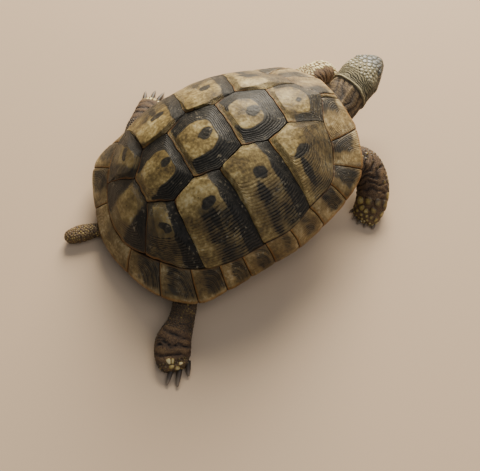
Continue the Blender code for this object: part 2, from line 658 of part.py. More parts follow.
def build_tail(trunk):
    """The tail, let into the rear of the trunk."""
    tube("tail", jointed_rings([TAIL], 12)[0], "#4a4132", 0.75, start_tip=2.0, end_tip=2.4)
    rings = jointed_rings([TAIL], 12, grow=GAP + 0.1)[0][:3]
    boolean(trunk, tube("socket_tail", rings, SKIN_COLOUR, 0.7, start_tip=2.6), "DIFFERENCE")


def main():
    """Clear the scene and build the whole animal."""
    for old in list(bpy.data.objects):
        bpy.data.objects.remove(old, do_unlink=True)
    build_dome()
    build_marginals()
    build_plastron()
    trunk = build_trunk()
    build_legs(trunk)
    build_head_and_neck(trunk)
    build_tail(trunk)


main()
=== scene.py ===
"""Looks of a life-size spur-thighed tortoise in mid-step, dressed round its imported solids.

The shell is horn: thirteen scutes on the dome, a ring of marginal scutes and the plastron, each a
piece of its own with raised growth rings. One skin covers the body, and its larger scales, the
claws and the eyes lie on it. Lengths are in millimetres in the shell's own frame, whose origin is
under the middle of the shell, and become metres in the row's frame when a mesh is made.
"""
import logging
import math
from dataclasses import dataclass, field
from enum import Enum
from functools import partial

import bmesh
import bpy
import numpy as np
from mathutils import Matrix, Vector
from mathutils.bvhtree import BVHTree
from mathutils.kdtree import KDTree


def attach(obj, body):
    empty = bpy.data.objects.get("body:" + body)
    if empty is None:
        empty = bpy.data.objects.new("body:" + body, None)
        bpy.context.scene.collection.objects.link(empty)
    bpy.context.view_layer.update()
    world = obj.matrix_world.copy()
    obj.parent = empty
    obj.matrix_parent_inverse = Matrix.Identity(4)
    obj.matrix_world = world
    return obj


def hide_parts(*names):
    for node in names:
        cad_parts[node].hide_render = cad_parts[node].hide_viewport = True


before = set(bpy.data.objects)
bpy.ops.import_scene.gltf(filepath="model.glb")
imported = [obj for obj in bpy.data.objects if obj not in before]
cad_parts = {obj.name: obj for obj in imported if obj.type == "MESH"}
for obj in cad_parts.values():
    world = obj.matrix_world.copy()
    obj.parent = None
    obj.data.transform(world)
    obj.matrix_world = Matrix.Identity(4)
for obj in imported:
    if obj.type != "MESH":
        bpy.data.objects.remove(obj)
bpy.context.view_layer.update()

log = logging.getLogger("tortoise")
Array = np.ndarray
Piece = bpy.types.Object
Material = bpy.types.Material
MM = 0.001
UP = np.array([0.0, 0.0, 1.0])
SHELL_ORIGIN = np.array([-15.9, -2.9, 0.0])    # the shell's own frame in the row's frame
BODY = "root"


# ------------------------------------------------------------------ small tools
def to_row(points: Array) -> Array:
    """Turn shell millimetres into metres in the row's frame.

    Args:
        points: Points, one a row.

    Returns:
        The same points in metres.
    """
    return (np.asarray(points) + SHELL_ORIGIN) * MM


def smoothstep(low: float, high: float, value: Array) -> Array:
    """Rise smoothly from 0 at low to 1 at high (or fall, where high is below low).

    Args:
        low: Where the result is 0.
        high: Where the result is 1.
        value: Values to read.

    Returns:
        The eased values.
    """
    t = np.clip((np.asarray(value, float) - low) / (high - low), 0.0, 1.0)
    return t * t * (3.0 - 2.0 * t)


def hill(value: Array, centre: float, width: float) -> Array:
    """A smooth bump of height 1 about a centre."""
    return np.exp(-((np.asarray(value, float) - centre) / width)**2)


def unit(vectors: Array) -> Array:
    """The rows of an array at length 1."""
    return vectors / np.linalg.norm(vectors, axis=1)[:, None]


def at_height(plan: Array, z: float) -> Array:
    """Places in plan, all at one height."""
    return np.column_stack([plan, np.full(len(plan), z)])


def soften(points: Array, times: int) -> Array:
    """A closed run of points with its corners evened out, a little each time.

    Args:
        points: The points, one a row.
        times: How often.

    Returns:
        The softened points.
    """
    for _ in range(times):
        points = (np.roll(points, 1, axis=0) + 2 * points + np.roll(points, -1, axis=0)) / 4.0
    return points


def ring_wave(phase: Array) -> Array:
    """0 in the groove at each whole number and 1 on the ridge between."""
    return 0.5 - 0.5 * np.cos(2 * math.pi * phase)


def rounded_edge(distance: Array, width: float, drop: float) -> Array:
    """How far a rounded edge falls away at a distance from it."""
    reach = np.minimum(distance, width) / width
    return drop * (1.0 - np.sqrt(np.clip(1.0 - (1.0 - reach)**2, 0.0, 1.0)))


def hermite(stations: Array, values: Array, at: Array) -> Array:
    """Smooth curve through values given at rising stations.

    Args:
        stations: Rising stations.
        values: One row of values for each station.
        at: Stations to read the curve at.

    Returns:
        One row of values for each place.
    """
    k = np.clip(np.searchsorted(stations, at, side="right") - 1, 0, len(stations) - 2)
    before = np.maximum(np.arange(len(stations)) - 1, 0)
    after = np.minimum(np.arange(len(stations)) + 1, len(stations) - 1)
    slopes = (values[after] - values[before]) / (stations[after] - stations[before])[:, None]
    step = (stations[k + 1] - stations[k])[:, None]
    t = (np.asarray(at) - stations[k])[:, None] / step
    return ((2 * t**3 - 3 * t**2 + 1) * values[k] + (t**3 - 2 * t**2 + t) * step * slopes[k]
            + (-2 * t**3 + 3 * t**2) * values[k + 1] + (t**3 - t**2) * step * slopes[k + 1])


def noise(points: Array, size: float, seed: int = 0) -> Array:
    """Smooth gradient noise from about -1 to 1.

    Args:
        points: Points in millimetres, one a row.
        size: The size of one swell in millimetres.
        seed: Picks another pattern.

    Returns:
        One value for each point.
    """
    p = np.asarray(points, float) / size + 37.7 * seed + 11.3
    cell = np.floor(p).astype(np.int64)
    part = p - cell
    ease = part**3 * (part * (part * 6 - 15) + 10)
    total = np.zeros(len(p))
    for corner in range(8):
        offset = np.array([corner & 1, (corner >> 1) & 1, (corner >> 2) & 1])
        h = (cell + offset) @ np.array([73856093, 19349663, 83492791])
        h = (h ^ (h >> 13)) * 1274126177 & 0x7FFFFFFF
        angle = (h & 0xFFFF) / 65536.0 * 2 * math.pi
        rise = ((h >> 8) & 0xFFFF) / 32768.0 - 1.0
        flat = np.sqrt(np.maximum(0.0, 1.0 - rise * rise))
        gradient = np.stack([flat * np.cos(angle), flat * np.sin(angle), rise], axis=1)
        weight = np.prod(np.where(offset == 1, ease, 1.0 - ease), axis=1)
        total += weight * np.sum(gradient * (part - offset), axis=1)
    return total * 1.6


def rough(points: Array, size: float, seed: int = 0) -> Array:
    """Noise at three sizes, each half the last and half as strong."""
    return sum(noise(points, size / 2**k, seed + k) / 2**k for k in range(3)) / 1.5


def deselect() -> None:
    """Leave object mode with nothing selected."""
    if bpy.context.object is not None and bpy.context.object.mode != "OBJECT":
        bpy.ops.object.mode_set(mode="OBJECT")
    bpy.ops.object.select_all(action="DESELECT")


def select(piece: Piece) -> None:
    """Make a piece the only selected and the active object.

    Args:
        piece: The piece.
    """
    deselect()
    piece.select_set(True)
    bpy.context.view_layer.objects.active = piece


def join(pieces: list, name: str) -> Piece:
    """Join pieces into the first of them.

    Args:
        pieces: The pieces.
        name: The joined piece's name.

    Returns:
        The joined piece.
    """
    select(pieces[0])
    for piece in pieces[1:]:
        piece.select_set(True)
    bpy.ops.object.join()
    joined = bpy.context.view_layer.objects.active
    joined.name = name
    return joined


def apply_modifier(piece: Piece, kind: str, **settings: object) -> None:
    """Add a modifier and apply it.

    Args:
        piece: The object.
        kind: The modifier's type.
        settings: Its values by name.
    """
    select(piece)
    modifier = piece.modifiers.new(kind.lower(), kind)
    for key, value in settings.items():
        setattr(modifier, key, value)
    bpy.ops.object.modifier_apply(modifier=modifier.name)


def piece_from(name: str, points: Array, faces: list) -> Piece:
    """A new smooth mesh object whose place is in its vertices.

    Args:
        name: The piece's name.
        points: Vertices in shell millimetres.
        faces: Vertex numbers of each face.

    Returns:
        The object.
    """
    mesh = bpy.data.meshes.new(name)
    mesh.from_pydata(to_row(points).tolist(), [], faces)
    mesh.shade_smooth()
    piece = bpy.data.objects.new(name, mesh)
    bpy.context.scene.collection.objects.link(piece)
    return piece


def faces_between(rings: int, around: int) -> Array:
    """Faces that join closed rings of vertices.

    Args:
        rings: How many rings.
        around: Vertices in each ring.

    Returns:
        Four vertex numbers for each face.
    """
    base = np.arange(rings * around).reshape(rings, around)
    turned = np.roll(base, -1, axis=1)
    return np.stack([base[:-1], turned[:-1], turned[1:], base[1:]], axis=-1).reshape(-1, 4)


def loft(name: str, rings: Array, first: Array, last: Array) -> Piece:
    """A closed piece skinned over rings, with its faces turned outwards.

    Args:
        name: The piece's name.
        rings: Array of rings, vertices and coordinates.
        first: The point that closes the first ring.
        last: The point that closes the last ring.

    Returns:
        The object.
    """
    count, around = rings.shape[:2]
    points = np.concatenate([rings.reshape(-1, 3), [first], [last]])
    quads = faces_between(count, around)
    end, tip = (count - 1) * around, count * around
    steps = [(k, (k + 1) % around) for k in range(around)]
    faces = quads.tolist() + [(tip, b, a) for a, b in steps] + [(tip + 1, end + a, end + b) for a, b in steps]
    centre = points.mean(axis=0)
    a, b, c = (points[quads[:, k]] - centre for k in range(3))
    if np.sum(a * np.cross(b, c)) < 0.0:
        faces = [face[::-1] for face in faces]
    return piece_from(name, points, faces)


def add_attribute(piece: Piece, name: str, values: Array) -> None:
    """Store one number for each vertex under a name that the finishes read."""
    found = piece.data.attributes.new(name, "FLOAT", "POINT")
    found.data.foreach_set("value", np.asarray(values, np.float32))


def tree_of(points: Array) -> KDTree:
    """A search tree over points.

    Args:
        points: The points, one a row.

    Returns:
        The tree.
    """
    tree = KDTree(len(points))
    for k, point in enumerate(points):
        tree.insert(point, k)
    tree.balance()
    return tree


def read_vectors(data: bpy.types.bpy_prop_collection, name: str) -> Array:
    """Read a vector of each vertex.

    Args:
        data: The mesh's vertices or normals.
        name: Their vector's name.

    Returns:
        One vector a row.
    """
    flat = np.empty(len(data) * 3, np.float32)
    data.foreach_get(name, flat)
    return flat.reshape(-1, 3).astype(float)


def finish_piece(piece: Piece, material: Material, stands_for: tuple = ()) -> None:
    """Give a piece its finish, its body and the solids that it stands for.

    Args:
        piece: The finished piece.
        material: The finish.
        stands_for: Names of the CAD nodes that it replaces.
    """
    piece.data.materials.clear()
    piece.data.materials.append(material)
    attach(piece, BODY)
    if stands_for:
        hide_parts(*stands_for)
    log.info("%s: %d faces", piece.name, len(piece.data.polygons))


# ------------------------------------------------------------------ finishes
NOISE_MM = 500.0                                # size of a noise texture's swells at scale 1
CELL_MM = 1000.0                                # size of a cell texture's cells at scale 1
COLOURS = {"data_type": "RGBA", "output": 2}    # with these a Mix node blends its inputs 6 and 7


def srgb(colour: str) -> tuple:
    """Linear colour with alpha of an sRGB hex value."""
    parts = [int(colour[k:k + 2], 16) / 255.0 for k in (1, 3, 5)]
    return (*[c / 12.92 if c <= 0.04045 else ((c + 0.055) / 1.055)**2.4 for c in parts], 1.0)


def plug(node: bpy.types.Node, inputs: dict) -> None:
    """Set or link a node's inputs.

    Args:
        node: The node.
        inputs: A value or an output socket for each input, by name or number.
    """
    for key, value in inputs.items():
        if isinstance(value, bpy.types.NodeSocket):
            node.id_data.links.new(value, node.inputs[key])
        else:
            node.inputs[key].default_value = value


def add_node(tree: bpy.types.NodeTree, kind: str, *values: object, named: dict | None = None,
             output: int | str = 0, stops: tuple = (), **settings: object) -> bpy.types.NodeSocket:
    """Add one shader node with its settings and links.

    Args:
        tree: The material's node tree.
        kind: The node's type, without the word ShaderNode.
        values: A value or an output socket for each of the first inputs.
        named: The same for other inputs, by name or number.
        output: The output that is wanted, by name or number.
        stops: Places and sRGB hex colours of a colour ramp.
        settings: The node's properties by name.

    Returns:
        The output's socket.
    """
    node = tree.nodes.new("ShaderNode" + kind)
    for key, value in settings.items():
        setattr(node, key, value)
    plug(node, {**dict(enumerate(values)), **(named or {})})
    if stops:
        elements = node.color_ramp.elements
        while len(elements) < len(stops[0]):
            elements.new(0.5)
        for element, place, colour in zip(elements, *stops):
            element.position = place
            element.color = srgb(colour)
    return node.outputs[output]


def new_material(name: str, *attributes: str, swells: tuple = ()) -> tuple:
    """A material with its Principled shader.

    Args:
        name: The material's name.
        attributes: Names of the vertex values that the finish reads.
        swells: Size in millimetres and number of finer layers of each noise that it needs.

    Returns:
        The material, a function that adds a node to it, the shader node, the object's coordinates,
        the sockets of the attributes and those of the noises.
    """
    material = bpy.data.materials.new(name)
    material.use_nodes = True
    add = partial(add_node, material.node_tree)
    place = add("TexCoord", output="Object")
    read = [add("Attribute", output="Fac", attribute_name=attribute) for attribute in attributes]
    noises = [add("TexNoise", named={"Vector": place, "Scale": NOISE_MM / size, "Detail": detail})
              for size, detail in swells]
    return material, add, material.node_tree.nodes["Principled BSDF"], place, read, noises


@dataclass(frozen=True)
class ScuteHorn:
    """Keratin of the shell: satin horn, ochre where thin and charcoal where it holds pigment.

    The eye sees dense uneven growth lines, wrinkled worn middles and a soft sheen from the sky.
    """

    name: str
    tan: tuple = ("#43351d", "#776337", "#9e8956", "#c2b183")
    black: tuple = ("#040403", "#12100e", "#3a352c")
    amber: str = "#8a5a24"
    roughness: float = 0.54
    line_strength: float = 0.36

    def build(self) -> Material:
        """Make the material.

        Returns:
            The material, which reads the pieces' dark, growth, seam and amber attributes.
        """
        material, add, shader, _, (dark, growth, seam, amber), (cloud, patch, fine, grain) = new_material(
            self.name, "dark", "growth", "seam", "amber",
            swells=((6.0, 4.0), (2.6, 3.0), (0.9, 3.0), (0.35, 2.0)))
        # Each ring's groove is darker than its ridge, and no groove is as deep all the way round.
        phase = add("Math", add("Math", fine, 0.45, growth, operation="MULTIPLY_ADD"), operation="FRACT")
        trough = add("Math", add("Math", phase, 0.5, operation="SUBTRACT"), operation="ABSOLUTE")
        line = add("MapRange", trough, 0.16, 0.44, interpolation_type="SMOOTHSTEP")
        grown = add("MapRange", growth, 0.0, 1.0)
        uneven = add("MapRange", patch, 0.34, 0.62, 0.3)
        line = add("Math", add("Math", line, grown, operation="MULTIPLY"), uneven, operation="MULTIPLY")
        wrinkle = add("Math", fine, 0.5, operation="SUBTRACT")
        level = add("Math", wrinkle, 0.55, cloud, operation="MULTIPLY_ADD")
        tan = add("ValToRGB", level, stops=((0.26, 0.46, 0.6, 0.8), self.tan))
        lined = add("Math", line, self.line_strength, operation="MULTIPLY")
        tan = add("Mix", lined, named={6: tan, 7: srgb("#2c2011")}, **COLOURS)
        rise = add("Math", fine, 0.9, 0.05, operation="MULTIPLY_ADD")
        rise = add("Math", line, -0.8, rise, operation="MULTIPLY_ADD")
        black = add("ValToRGB", rise, stops=((0.0, 0.38, 0.8), self.black))
        # Half-dark horn is browner, and striped: the pigment lies in the grooves.
        between = add("Math", add("Math", 1.0, dark, operation="SUBTRACT"), dark, operation="MULTIPLY")
        brown = add("Math", between, 1.6, 0.14, operation="MULTIPLY_ADD")
        brown = add("Math", brown, grown, operation="MULTIPLY")
        tan = add("Mix", brown, named={6: tan, 7: srgb("#584830")}, **COLOURS)
        swing = add("Math", line, 2.6 * self.line_strength, -0.8 * self.line_strength,
                    operation="MULTIPLY_ADD")
        stripe = add("Math", swing, between, operation="MULTIPLY")
        speck = add("Math", wrinkle, 0.7, dark, operation="MULTIPLY_ADD")
        speck = add("Math", stripe, speck, operation="ADD")
        mask = add("MapRange", speck, 0.17, 0.82, interpolation_type="SMOOTHSTEP")
        colour = add("Mix", mask, named={6: tan, 7: black}, **COLOURS)
        # Dust lies along the ridges, pale flecks lie in scuffed patches, and the seams are dark.
        ridge = add("Math", 1.0, line, operation="SUBTRACT")
        scuffed = add("MapRange", cloud, 0.5, 0.62)
        fleck = add("MapRange", fine, 0.58, 0.66, 0.0, 0.4)
        dust = add("Math", ridge, grain, operation="MULTIPLY")
        for first, second, tone in ((dust, 0.08, "#9a8f78"), (scuffed, fleck, "#a99b7e"),
                                    (amber, 0.66, self.amber), (seam, 0.9, "#150e08")):
            share = add("Math", first, second, operation="MULTIPLY")
            colour = add("Mix", share, named={6: colour, 7: srgb(tone)}, **COLOURS)
        gloss = add("Math", fine, 0.26, self.roughness - 0.13, operation="MULTIPLY_ADD")
        height = add("Math", fine, 0.9, operation="MULTIPLY")
        height = add("Math", line, -0.8, height, operation="MULTIPLY_ADD")
        height = add("Math", height, patch, operation="ADD")
        height = add("Math", grain, 0.35, height, operation="MULTIPLY_ADD")
        normal = add("Bump", named={"Strength": 0.8, "Distance": 0.0003, "Height": height})
        plug(shader, {"Base Color": colour, "Roughness": gloss, "IOR": 1.47, "Specular IOR Level": 0.3,
                      "Normal": normal})
        return material


@dataclass(frozen=True)
class Hide:
    """Dry reptile hide: folded, finely grained, olive on the head and earth brown on the limbs.

    The eye sees matt skin whose crests are rubbed pale, and whose folds and hollows are painted nearly black
    as shade.
    """

    name: str
    olive: tuple = ("#13110b", "#4f4830", "#a3966f", "#c9be9c")
    earth: tuple = ("#100a05", "#4a3420", "#86683f", "#b89a66")
    horn: tuple = ("#2e2a21", "#6a6250")
    grain_mm: float = 0.75
    roughness: float = 0.7

    def build(self) -> Material:
        """Make the material.

        Returns:
            The material, which reads the skin's fold, pale, earth and horn attributes; the first is painted
            shade in the folds and hollows.
        """
        material, add, shader, place, (fold, pale, earth, horn), (cloud, fine) = new_material(
            self.name, "fold", "pale", "earth", "horn", swells=((5.0, 4.0), (0.5, 3.0)))
        cells = add("TexVoronoi", named={"Vector": place, "Scale": CELL_MM / self.grain_mm,
                                         "Randomness": 0.8}, output="Distance", feature="DISTANCE_TO_EDGE")
        grain = add("MapRange", cells, 0.0, 0.26, interpolation_type="SMOOTHSTEP")
        level = -0.08
        # Painted shade: the fold value darkens the skin in its folds, creases and hollows.
        for source, weight in ((pale, 0.6), (cloud, 0.45), (grain, 0.2), (fold, -0.75)):
            level = add("Math", source, weight, level, operation="MULTIPLY_ADD")
        olive, brown = (add("ValToRGB", level, stops=((0.0, 0.36, 0.72, 1.0), tones))
                        for tones in (self.olive, self.earth))
        colour = add("Mix", earth, named={6: olive, 7: brown}, **COLOURS)
        beak = add("ValToRGB", cloud, stops=((0.3, 0.7), self.horn))
        colour = add("Mix", horn, named={6: colour, 7: beak}, **COLOURS)
        gloss = add("Math", horn, -0.28, self.roughness, operation="MULTIPLY_ADD")
        soft = add("Math", 1.0, horn, operation="SUBTRACT")
        height = add("Math", grain, soft, operation="MULTIPLY")
        height = add("Math", fine, 0.4, height, operation="MULTIPLY_ADD")
        normal = add("Bump", named={"Strength": 0.7, "Distance": 0.00022, "Height": height})
        plug(shader, {"Base Color": colour, "Roughness": gloss, "Normal": normal})
        return material


@dataclass(frozen=True)
class ScaleHorn:
    """Small horny scales, dark at the rim and worn to ochre or cream on the crown.

    The eye sees each scale in a slightly different tone, with a dull sheen on the smooth ones, and a painted
    grey reflection of the sky mixed in where asked.
    """

    name: str
    tones: tuple = ("#150f08", "#4f3d22", "#97803f", "#cfc193")
    # The colour of the painted reflection of the sky.
    grey: str = "#62676a"
    roughness: float = 0.5

    def build(self) -> Material:
        """Make the material.

        Returns:
            The material, which reads the scales' tint, crown and grey attributes; the last mixes in a painted
            grey reflection of the sky.
        """
        material, add, shader, _, (tint, crown, grey), (fine,) = new_material(
            self.name, "tint", "crown", "grey", swells=((0.7, 3.0),))
        level = tint
        for source, middle, weight in ((fine, 0.5, 0.5), (crown, 0.75, 0.45)):
            swing = add("Math", source, middle, operation="SUBTRACT")
            level = add("Math", swing, weight, level, operation="MULTIPLY_ADD")
        colour = add("ValToRGB", level, stops=((0.0, 0.34, 0.66, 1.0), self.tones))
        # Painted reflection: the scales are mixed towards grey where the sky's sheen is painted in.
        colour = add("Mix", grey, named={6: colour, 7: srgb(self.grey)}, **COLOURS)
        normal = add("Bump", named={"Strength": 0.5, "Distance": 0.00014, "Height": fine})
        plug(shader, {"Base Color": colour, "Roughness": self.roughness, "Normal": normal})
        return material


@dataclass(frozen=True)
class ClawHorn:
    """Solid horn of a claw: near black at the root, paler and worn towards the tip."""

    name: str = "claw_horn"
    tones: tuple = ("#191310", "#43382f", "#8a7b69")

    def build(self) -> Material:
        """Make the material.

        Returns:
            The material, which reads the claw's length attribute.
        """
        material, add, shader, _, (length,), (fine,) = new_material(self.name, "length", swells=((1.2, 3.0),))
        level = add("Math", length, 0.15, operation="SUBTRACT")
        level = add("Math", fine, 0.3, level, operation="MULTIPLY_ADD")
        colour = add("ValToRGB", level, stops=((0.0, 0.5, 1.0), self.tones))
        plug(shader, {"Base Color": colour, "Roughness": 0.5, "Specular IOR Level": 0.3})
        return material


@dataclass(frozen=True)
class EyeGloss:
    """A wet dark brown eye with a black pupil that only just shows."""

    name: str = "eye_wet"
    tones: tuple = ("#0c0806", "#2a190b", "#1d1108", "#030202")

    def build(self) -> Material:
        """Make the material.

        Returns:
            The material, which reads the eye's iris attribute.
        """
        material, add, shader, _, (iris,), _ = new_material(self.name, "iris")
        colour = add("ValToRGB", iris, stops=((0.0, 0.45, 0.7, 0.78), self.tones))
        plug(shader, {"Base Color": colour, "Roughness": 0.05, "Coat Weight": 1.0, "Coat Roughness": 0.02})
        return material


# ------------------------------------------------------------------ the shell's form
@dataclass(frozen=True)
class ShellForm:
    """Driving sizes of the shell and the surfaces that follow from them."""

    crown_x: float = 15.0
    crown_z: float = 77.6
    softness: float = 0.16
    shoulder: float = 0.41
    powers: tuple = (1.36, 4.0)
    rim_radius: float = 1.3
    lip_reach: float = 8.5
    bridge_z: float = 13.4
    bridge: tuple = (4.5, 5.5, 7.7, 8.7)
    even_reach: int = 40           # degrees round the crown over which the edge is evened out inwards
    even_width: float = 15.0
    last_station: float = 13.0
    # Station along the edge from the front midline to the rear, upper edge x y z, rim x y z.
    edge: tuple = (
        (0.0, (70.4, 0.0, 65.5), (82.0, 0.0, 57.0)),
        (1.0, (70.1, 1.8, 65.3), (82.2, 2.4, 56.8)),
        (1.6, (62.9, 17.0, 62.6), (82.9, 13.0, 53.6)),
        (2.0, (61.0, 29.0, 58.3), (82.6, 23.0, 50.5)),
        (3.0, (56.2, 40.0, 52.5), (73.0, 45.8, 43.5)),
        (4.0, (49.0, 49.5, 50.0), (56.0, 57.0, 38.0)),
        (5.0, (31.0, 57.0, 48.5), (38.0, 62.0, 31.0)),
        (6.0, (15.0, 62.5, 44.3), (20.0, 65.4, 24.0)),
        (7.0, (-1.0, 62.6, 42.0), (3.5, 65.8, 21.0)),
        (8.0, (-16.0, 62.4, 39.5), (-12.5, 66.3, 18.5)),
        (9.0, (-29.5, 59.6, 36.5), (-28.5, 66.3, 17.0)),
        (10.0, (-44.5, 51.8, 33.0), (-47.0, 65.2, 16.5)),
        (11.0, (-57.5, 37.5, 31.0), (-64.8, 51.5, 18.5)),
        (12.0, (-68.0, 18.3, 25.0), (-75.2, 25.5, 13.5)),
        (13.0, (-71.3, 0.0, 23.0), (-79.5, 0.0, 13.0)),
    )

    def edge_points(self, stations: Array, side: int) -> tuple:
        """Upper edge and rim of the shell.

        Args:
            stations: Places along the edge, beyond either midline where wanted.
            side: 1 for left and -1 for right.

        Returns:
            Two arrays of points.
        """
        mirror = np.array([1.0, -1.0, 1.0])
        rows = [(s, np.array(a), np.array(b)) for s, a, b in self.edge]
        front = [(-s, a * mirror, b * mirror) for s, a, b in reversed(rows[1:4])]
        rear = [(2 * self.last_station - s, a * mirror, b * mirror) for s, a, b in reversed(rows[-3:-1])]
        rows = front + rows + rear
        known = np.array([r[0] for r in rows])
        flip = np.array([1.0, side, 1.0])
        upper = hermite(known, np.array([r[1] for r in rows]), np.atleast_1d(stations)) * flip
        rim = hermite(known, np.array([r[2] for r in rows]), np.atleast_1d(stations)) * flip
        return upper, rim

    def share(self, x: Array, y: Array) -> tuple:
        """How far from the crown towards the dome's edge a place is.

        Args:
            x: Places in plan.
            y: Places in plan.

        Returns:
            The share, 1 on the edge, and the edge's height in that direction.
        """
        seam = SEAM_TABLE
        angle = np.arctan2(y, x - self.crown_x)
        reach, edge_z, even_reach, even_z = (np.interp(angle, seam[:, 0], seam[:, k]) for k in (1, 2, 3, 4))
        from_crown = np.hypot(x - self.crown_x, y)
        # The edge's corners fade out inwards.
        inner = smoothstep(0.97, 0.68, from_crown / reach)
        return from_crown / (reach + (even_reach - reach) * inner), edge_z + (even_z - edge_z) * inner

    def height(self, x: Array, y: Array) -> Array:
        """Height of the plain dome above the floor.

        Args:
            x: Places in plan.
            y: Places in plan.

        Returns:
            The height at each place.
        """
        share, edge_z = self.share(x, y)

        def raw(value: Array) -> Array:
            """The early and the late fall mixed."""
            soft = np.hypot(value, self.softness)
            return (1 - self.shoulder) * soft**self.powers[0] + self.shoulder * soft**self.powers[1]

        fall = (raw(share) - raw(0.0)) / (raw(1.0) - raw(0.0))
        return self.crown_z - (self.crown_z - edge_z) * fall

    def over(self, plan: Array, raised: Array) -> Array:
        """Points over the dome.

        Args:
            plan: Places in plan, one a row.
            raised: Distance outside the dome along its normal.

        Returns:
            The points.
        """
        step = 0.8
        x, y = plan[:, 0], plan[:, 1]
        slope_x = (self.height(x + step, y) - self.height(x - step, y)) / (2 * step)
        slope_y = (self.height(x, y + step) - self.height(x, y - step)) / (2 * step)
        normal = unit(np.stack([-slope_x, -slope_y, np.ones_like(x)], axis=1))
        return np.stack([x, y, self.height(x, y)], axis=1) + normal * np.asarray(raised)[:, None]

    def bridge_share(self, stations: Array) -> Array:
        """1 where the marginals curl under to the plastron and 0 at the open ends.

        Args:
            stations: Places along the shell's edge.

        Returns:
            The share at each station.
        """
        a, b, c, d = self.bridge
        rising = np.clip((stations - a) / (b - a), 0.0, 1.0)
        falling = np.clip((d - stations) / (d - c), 0.0, 1.0)
        return np.minimum(rising, falling)


FORM = ShellForm()


def seam_table() -> Array:
    """The dome's edge seen from the crown: angle, distance and height, then both evened out.

    Returns:
        One row for each place along the edge.
    """
    upper, _ = FORM.edge_points(np.linspace(0.0, FORM.last_station, 521), 1)
    rows = np.stack([np.arctan2(upper[:, 1], upper[:, 0] - FORM.crown_x),
                     np.hypot(upper[:, 1], upper[:, 0] - FORM.crown_x), upper[:, 2]], axis=1)
    other = rows[::-1] * np.array([-1.0, 1.0, 1.0])
    rows = np.concatenate([other[:-1], rows])
    angles = np.radians(np.arange(-180.0, 181.0))
    reach = FORM.even_reach
    kernel = hill(np.arange(-reach, reach + 1), 0.0, FORM.even_width)
    kernel = kernel / kernel.sum()
    even = []
    for column in (1, 2):
        value = np.interp(angles, rows[:, 0], rows[:, column])
        value = np.concatenate([value[-reach - 1:-1], value, value[1:reach + 1]])
        value = np.convolve(value, kernel, "valid")
        even.append(np.interp(rows[:, 0], angles, value))
    return np.column_stack([rows, *even])


SEAM_TABLE = seam_table()


class Family(Enum):
    """Which row of scutes a plate belongs to, which sets how it is marked."""

    FIRST = "first vertebral"
    MIDDLE = "middle vertebral"
    LAST = "last vertebral"
    COSTAL = "costal"


@dataclass(frozen=True)
class PlateGrid:
    """The upper vertices of a plate, ring by ring from the middle of its areola outwards, in plan."""

    plan: Array
    g: Array          # below 0 inside the areola, and from 0 to 1 across the growth rings
    phase: Array      # growth rings counted from the areola
    outer: Array      # the plate's outline
    areola: Array     # the areola's outline

    def each_ring(self, values: Array) -> Array:
        """Values round the outline, repeated for every ring of vertices."""
        return np.tile(values, len(self.g) // len(self.outer))

    def width(self) -> Array:
        """How wide the growth is there, from the areola to the outline."""
        return self.each_ring(np.linalg.norm(self.outer - self.areola, axis=1))


